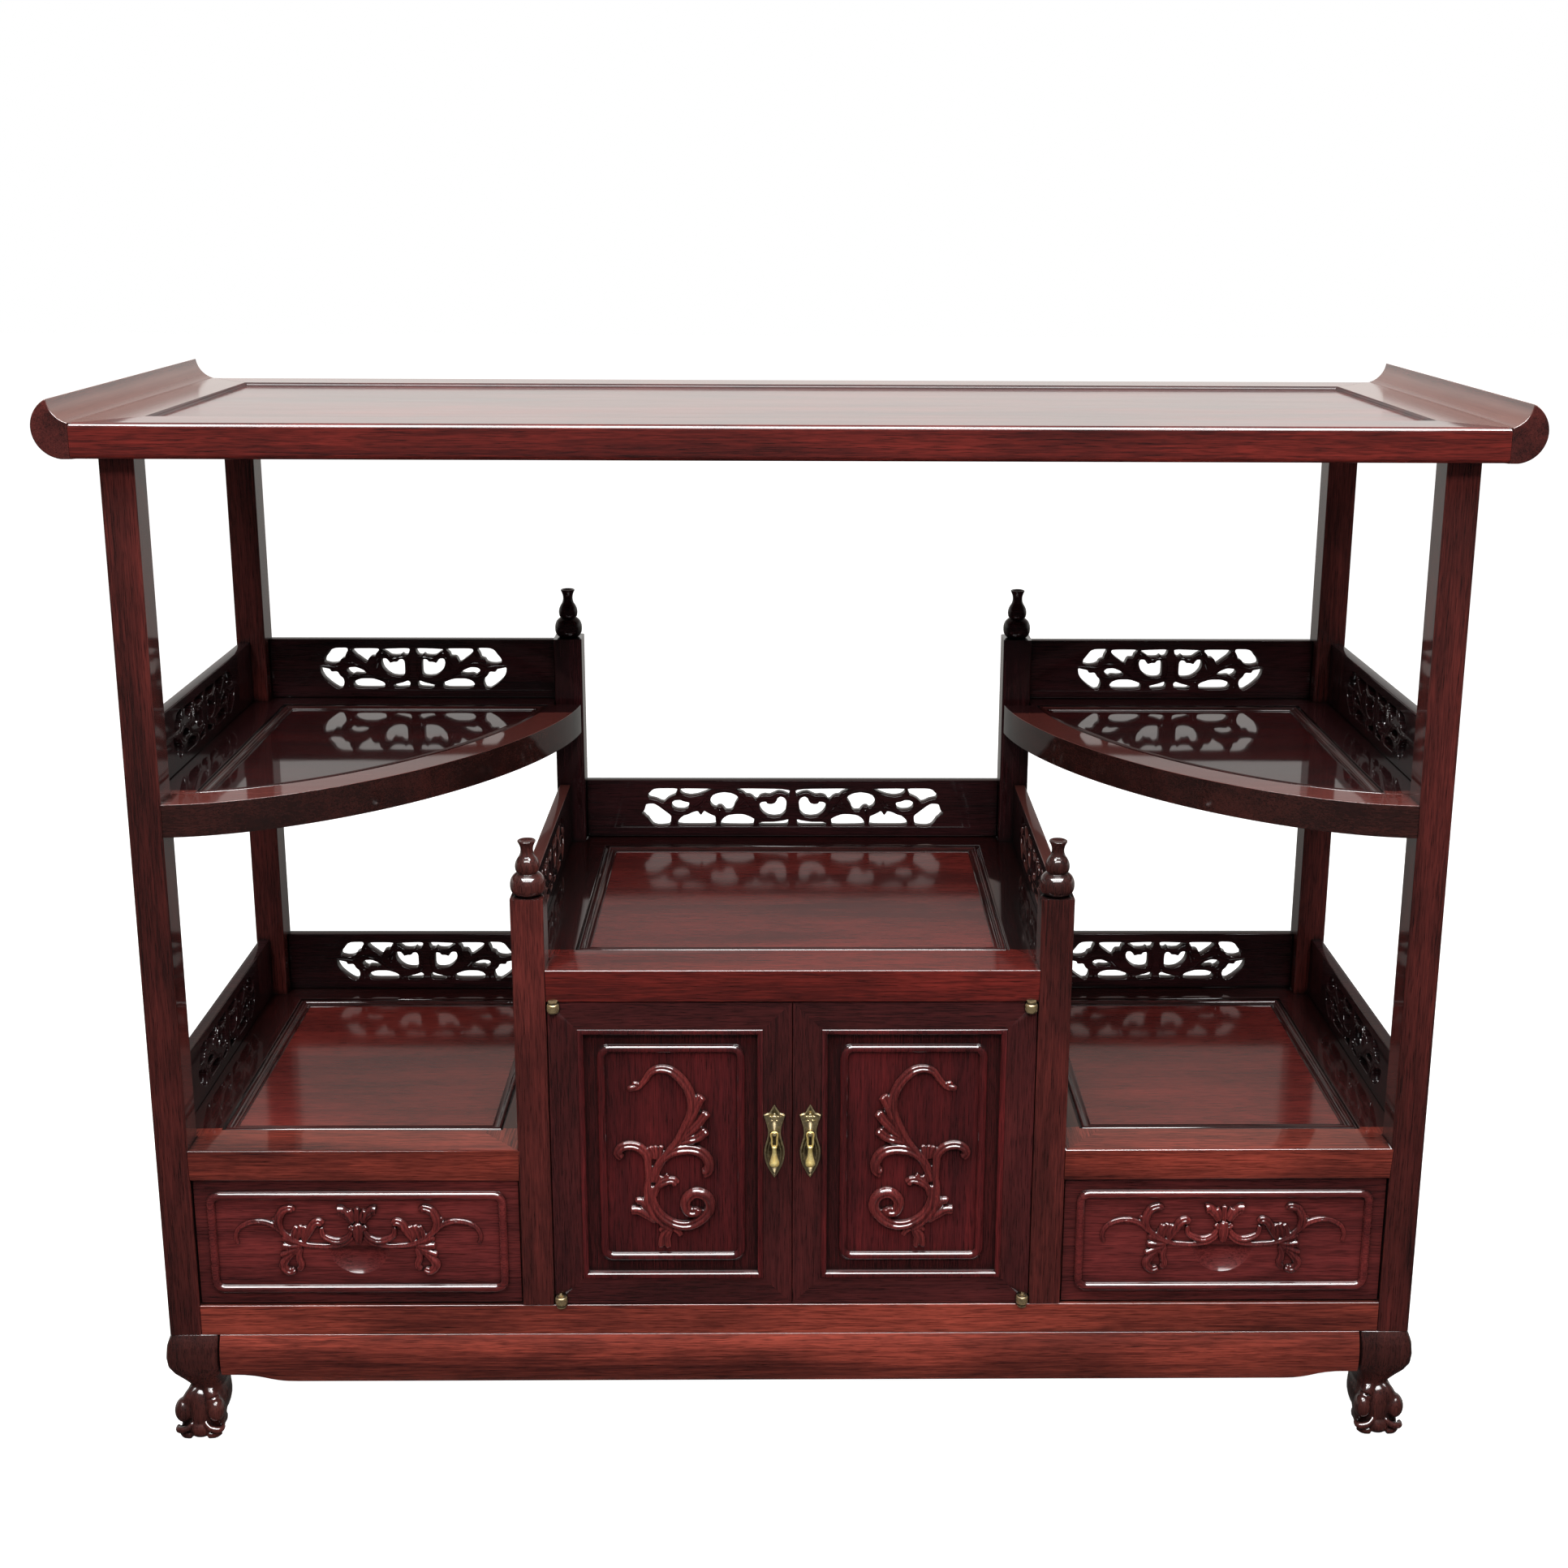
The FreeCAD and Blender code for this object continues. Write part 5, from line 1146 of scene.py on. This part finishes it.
# Swellings of the paw: centre (across from the outer face, back from the front face, up), and
# three half sizes.
PAW_ROUNDS = [
    ((26, 11.5, 25), (10.5, 8.5, 21)), ((26, 9, 9), (11, 8.2, 8.6)), ((34, 28, 34), (15, 21, 24)),
    ((12, 10, 27), (8.2, 9.5, 11.5)), ((40.5, 10, 27), (7.6, 9.5, 11.5)),
    ((27, 22, 10), (19, 14, 10)),
]
# Tubes of the paw: half width, points, share of the width at the ends. The two knuckles' necks
# come first, then the claws.
KNUCKLES = [
    (6.4, [(24, 16, 45), (19, 12, 40), (14, 10, 32)], 0.9),
    (6.4, [(33, 16, 45), (36.5, 12, 40), (39.5, 10, 32)], 0.9),
]
CLAWS = [
    (3.0, [(20.5, 5, 16.5), (16.5, 3.2, 12.5), (11, 3, 10.6), (7, 5, 10), (6, 10, 10.5)], 0.4),
    (3.0, [(31.5, 5, 16.5), (35.5, 3.2, 12.5), (41, 3, 10.6), (45, 5, 10), (46, 10, 10.5)], 0.4),
    (3.4, [(9, 10, 4.4), (13, 6, 4.2), (19, 5, 4)], 0.8),
    (3.4, [(43, 10, 4.4), (39, 6, 4.2), (33, 5, 4)], 0.8),
]


def ball(centre, sizes, rings=14, steps=20):
    outline = [(math.sin(math.pi * ring / rings), -math.cos(math.pi * ring / rings))
               for ring in range(rings + 1)]
    verts, faces = spun(outline, ORIGIN, steps)
    return [centre + Vector([part * size for part, size in zip(vert, sizes)])
            for vert in verts], faces


def leg_body():
    verts = []
    for height, outer, inner, front, back, square in LEG_SECTIONS:
        half_across, half_deep = (LEG_WIDE - outer - inner) / 2, (LEG_WIDE - front - back) / 2
        centre = Vector((outer + half_across, front + half_deep, height))
        for step in range(SECTION_STEPS):
            angle = 2 * math.pi * step / SECTION_STEPS
            across, deep = (math.copysign(abs(part) ** (2 / square), part)
                            for part in (math.cos(angle), math.sin(angle)))
            verts.append(centre + Vector((across * half_across, deep * half_deep, 0)))
    return verts, tube_faces(len(LEG_SECTIONS), SECTION_STEPS)


leg_parts = [leg_body()]
leg_parts += [ball(Vector(centre), sizes) for centre, sizes in PAW_ROUNDS]
leg_parts += [horn([Vector(point) for point in points], width, around=14, thin=thin)
              for width, points, thin in KNUCKLES + CLAWS]
print("parts fused into each leg:", len(leg_parts))

# %% Legs
legs = []
for depth, facing in (("front", 1), ("back", -1)):
    for side_name, way in (("left", 1), ("right", -1)):
        node = depth + "_" + side_name + "_leg"
        low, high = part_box(node)
        corner = Vector((low[0] if way > 0 else high[0], low[1] if facing > 0 else high[1], 0))
        parts = []
        for verts, faces in leg_parts:
            placed = [corner + Vector((way * point.x, facing * point.y, point.z)) * MM
                      for point in verts]
            outwards = way * facing > 0
            parts.append((placed, faces if outwards else [tuple(reversed(face)) for face in faces]))
        piece = fused(joined(node, parts, paw_wood), voxel=0.8, smoothing=3)
        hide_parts(node)
        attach(piece, "carcass")
        legs.append(piece)
tell("legs", legs)

# %% [markdown]
# ## Brass pulls
#
# Each door has a cast plate shaped like a star over a long leaf, with a raised rim and a small
# boss, and a loose drop that hangs from a stud: an eye, two thin arms with a slot between them,
# and a bell. The plate is drawn as an outline and given rounded edges. The drop is spun and its
# arms are bent rods, as a founder would model it in wax.

# %% Plates
PULL_PLACE, PIN_LEVEL = 15.5, 301
PLATE_HALF, PLATE_HIGH, PLATE_THICK, PLATE_LIFT, PLATE_EDGE = 9.0, 69.0, 1.4, 0.4, 0.45
# Shares of the plate's half width and of its height. A tip is given twice, which keeps it sharp.
PLATE_OUTLINE = [
    (0.0, 1.0), (0.0, 1.0), (0.17, 0.962), (0.32, 0.928), (0.50, 0.888), (0.74, 0.877),
    (1.0, 0.862), (1.0, 0.847), (0.90, 0.805), (0.76, 0.74), (0.65, 0.68), (0.60, 0.62),
    (0.66, 0.55), (0.84, 0.46), (0.97, 0.38), (0.96, 0.30), (0.82, 0.21), (0.55, 0.125),
    (0.25, 0.055), (0.0, 0.0), (0.0, 0.0),
]
LEAF_OUTLINE = [
    (0.0, 0.60), (0.30, 0.52), (0.55, 0.42), (0.62, 0.33), (0.52, 0.22), (0.25, 0.12), (0.0, 0.07),
]
RIM = half_round(width=0.9, height=0.5, sink=0.5, steps=6, centre=0.9)
LEAF_LINE = half_round(width=0.8, height=0.4, sink=0.3, steps=6)
BOSS_SHARE, BOSS_REACH, BOSSES = 0.82, 3.3, 5
BIG_BOSS, SMALL_BOSS = (2.4, 0.9, 2.4), (1.1, 0.6, 1.1)
STUD = [(0, -1.0), (1.2, -1.0), (1.2, 6.2), (1.7, 6.7), (1.9, 7.5), (1.4, 8.4), (0, 8.6)]


def both_sides(half):
    """A smooth closed outline from its right half, which runs from the top to the foot."""
    points = [(across * PLATE_HALF, up * PLATE_HIGH, 0) for across, up in half]
    points += [(-across, up, 0) for across, up, _ in reversed(points[1:-1])]
    return curve_through(points, 4, closed=True)


def pull_plate(side_name, way):
    low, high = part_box(side_name + "_pull_plate")
    middle, front = way * PULL_PLACE * MM, DOOR_FRONT - PLATE_THICK * MM
    foot = low[2] + PLATE_LIFT * MM
    place = Matrix(((1, 0, 0, middle), (0, 0, -1, DOOR_FRONT - PLATE_THICK / 2 * MM),
                    (0, 1, 0, foot), (0, 0, 0, 1)))
    outline = [(point.x, point.y) for point in both_sides(PLATE_OUTLINE)]
    parts = [cut_plate(outline, [], PLATE_THICK, PLATE_EDGE, place)]
    for line, section in ((PLATE_OUTLINE, RIM), (LEAF_OUTLINE, LEAF_LINE)):
        path = [Vector((middle + point.x * MM, front, foot + point.y * MM))
                for point in both_sides(line)]
        parts.append(carried(path, section, -Y))
    star = Vector((middle, front, foot + BOSS_SHARE * PLATE_HIGH * MM))
    parts.append(ball(star, [size * MM for size in BIG_BOSS]))
    for step in range(BOSSES):
        angle = math.pi / 2 + 2 * math.pi * step / BOSSES
        out = Vector((math.cos(angle), 0, math.sin(angle))) * BOSS_REACH * MM
        parts.append(ball(star + out, [size * MM for size in SMALL_BOSS]))
    pin = Vector((middle, front, PIN_LEVEL * MM))
    verts, faces = spun([(radius * MM, rise * MM) for radius, rise in STUD], ORIGIN, 20)
    parts.append(([pin + Vector((vert.x, -vert.z, vert.y)) for vert in verts], faces))
    piece = weld(joined(side_name + "_pull_plate", parts, brass))
    crisp(piece, BEAD_ANGLE)
    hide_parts(side_name + "_pull_plate")
    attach(piece, side_name + "_door")
    return piece


# %% Drops
# The bell's outline and the line of one arm: across from the middle and up from the foot, in
# millimetres.
DROP_BELL = [
    (0.0, 21.6), (1.9, 21.6), (2.4, 20.9), (2.4, 20.2), (1.9, 19.6), (1.8, 18.6), (1.9, 15.5),
    (2.4, 12.5), (3.2, 9.4), (4.1, 6.6), (4.3, 5.2), (4.0, 3.8), (2.8, 2.9), (0.0, 2.7),
]
DROP_ARM_LINE = [
    (0.8, 20.8), (2.0, 21.8), (2.3, 24.5), (2.3, 28.5), (2.8, 30.8), (2.8, 32.8), (1.9, 34.1),
    (0.0, 34.5),
]
DROP_ARM = 0.85


def pull_drop(side_name, way):
    low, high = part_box(side_name + "_pull_drop")
    foot = Vector((way * PULL_PLACE * MM, (low[1] + high[1]) / 2, low[2]))
    parts = [spun(smooth_outline(DROP_BELL, MM, MM), foot, 24)]
    for arm in (-1, 1):
        line = [foot + Vector((arm * across, 0, up)) * MM for across, up in DROP_ARM_LINE]
        parts.append(horn(line, DROP_ARM * MM, thin=0.9))
    piece = weld(joined(side_name + "_pull_drop", parts, rubbed_brass))
    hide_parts(side_name + "_pull_drop")
    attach(piece, side_name + "_pull")
    return piece


pulls = []
for side_name, way in SIDES:
    pulls += [pull_plate(side_name, way), pull_drop(side_name, way)]
tell("pulls", pulls)
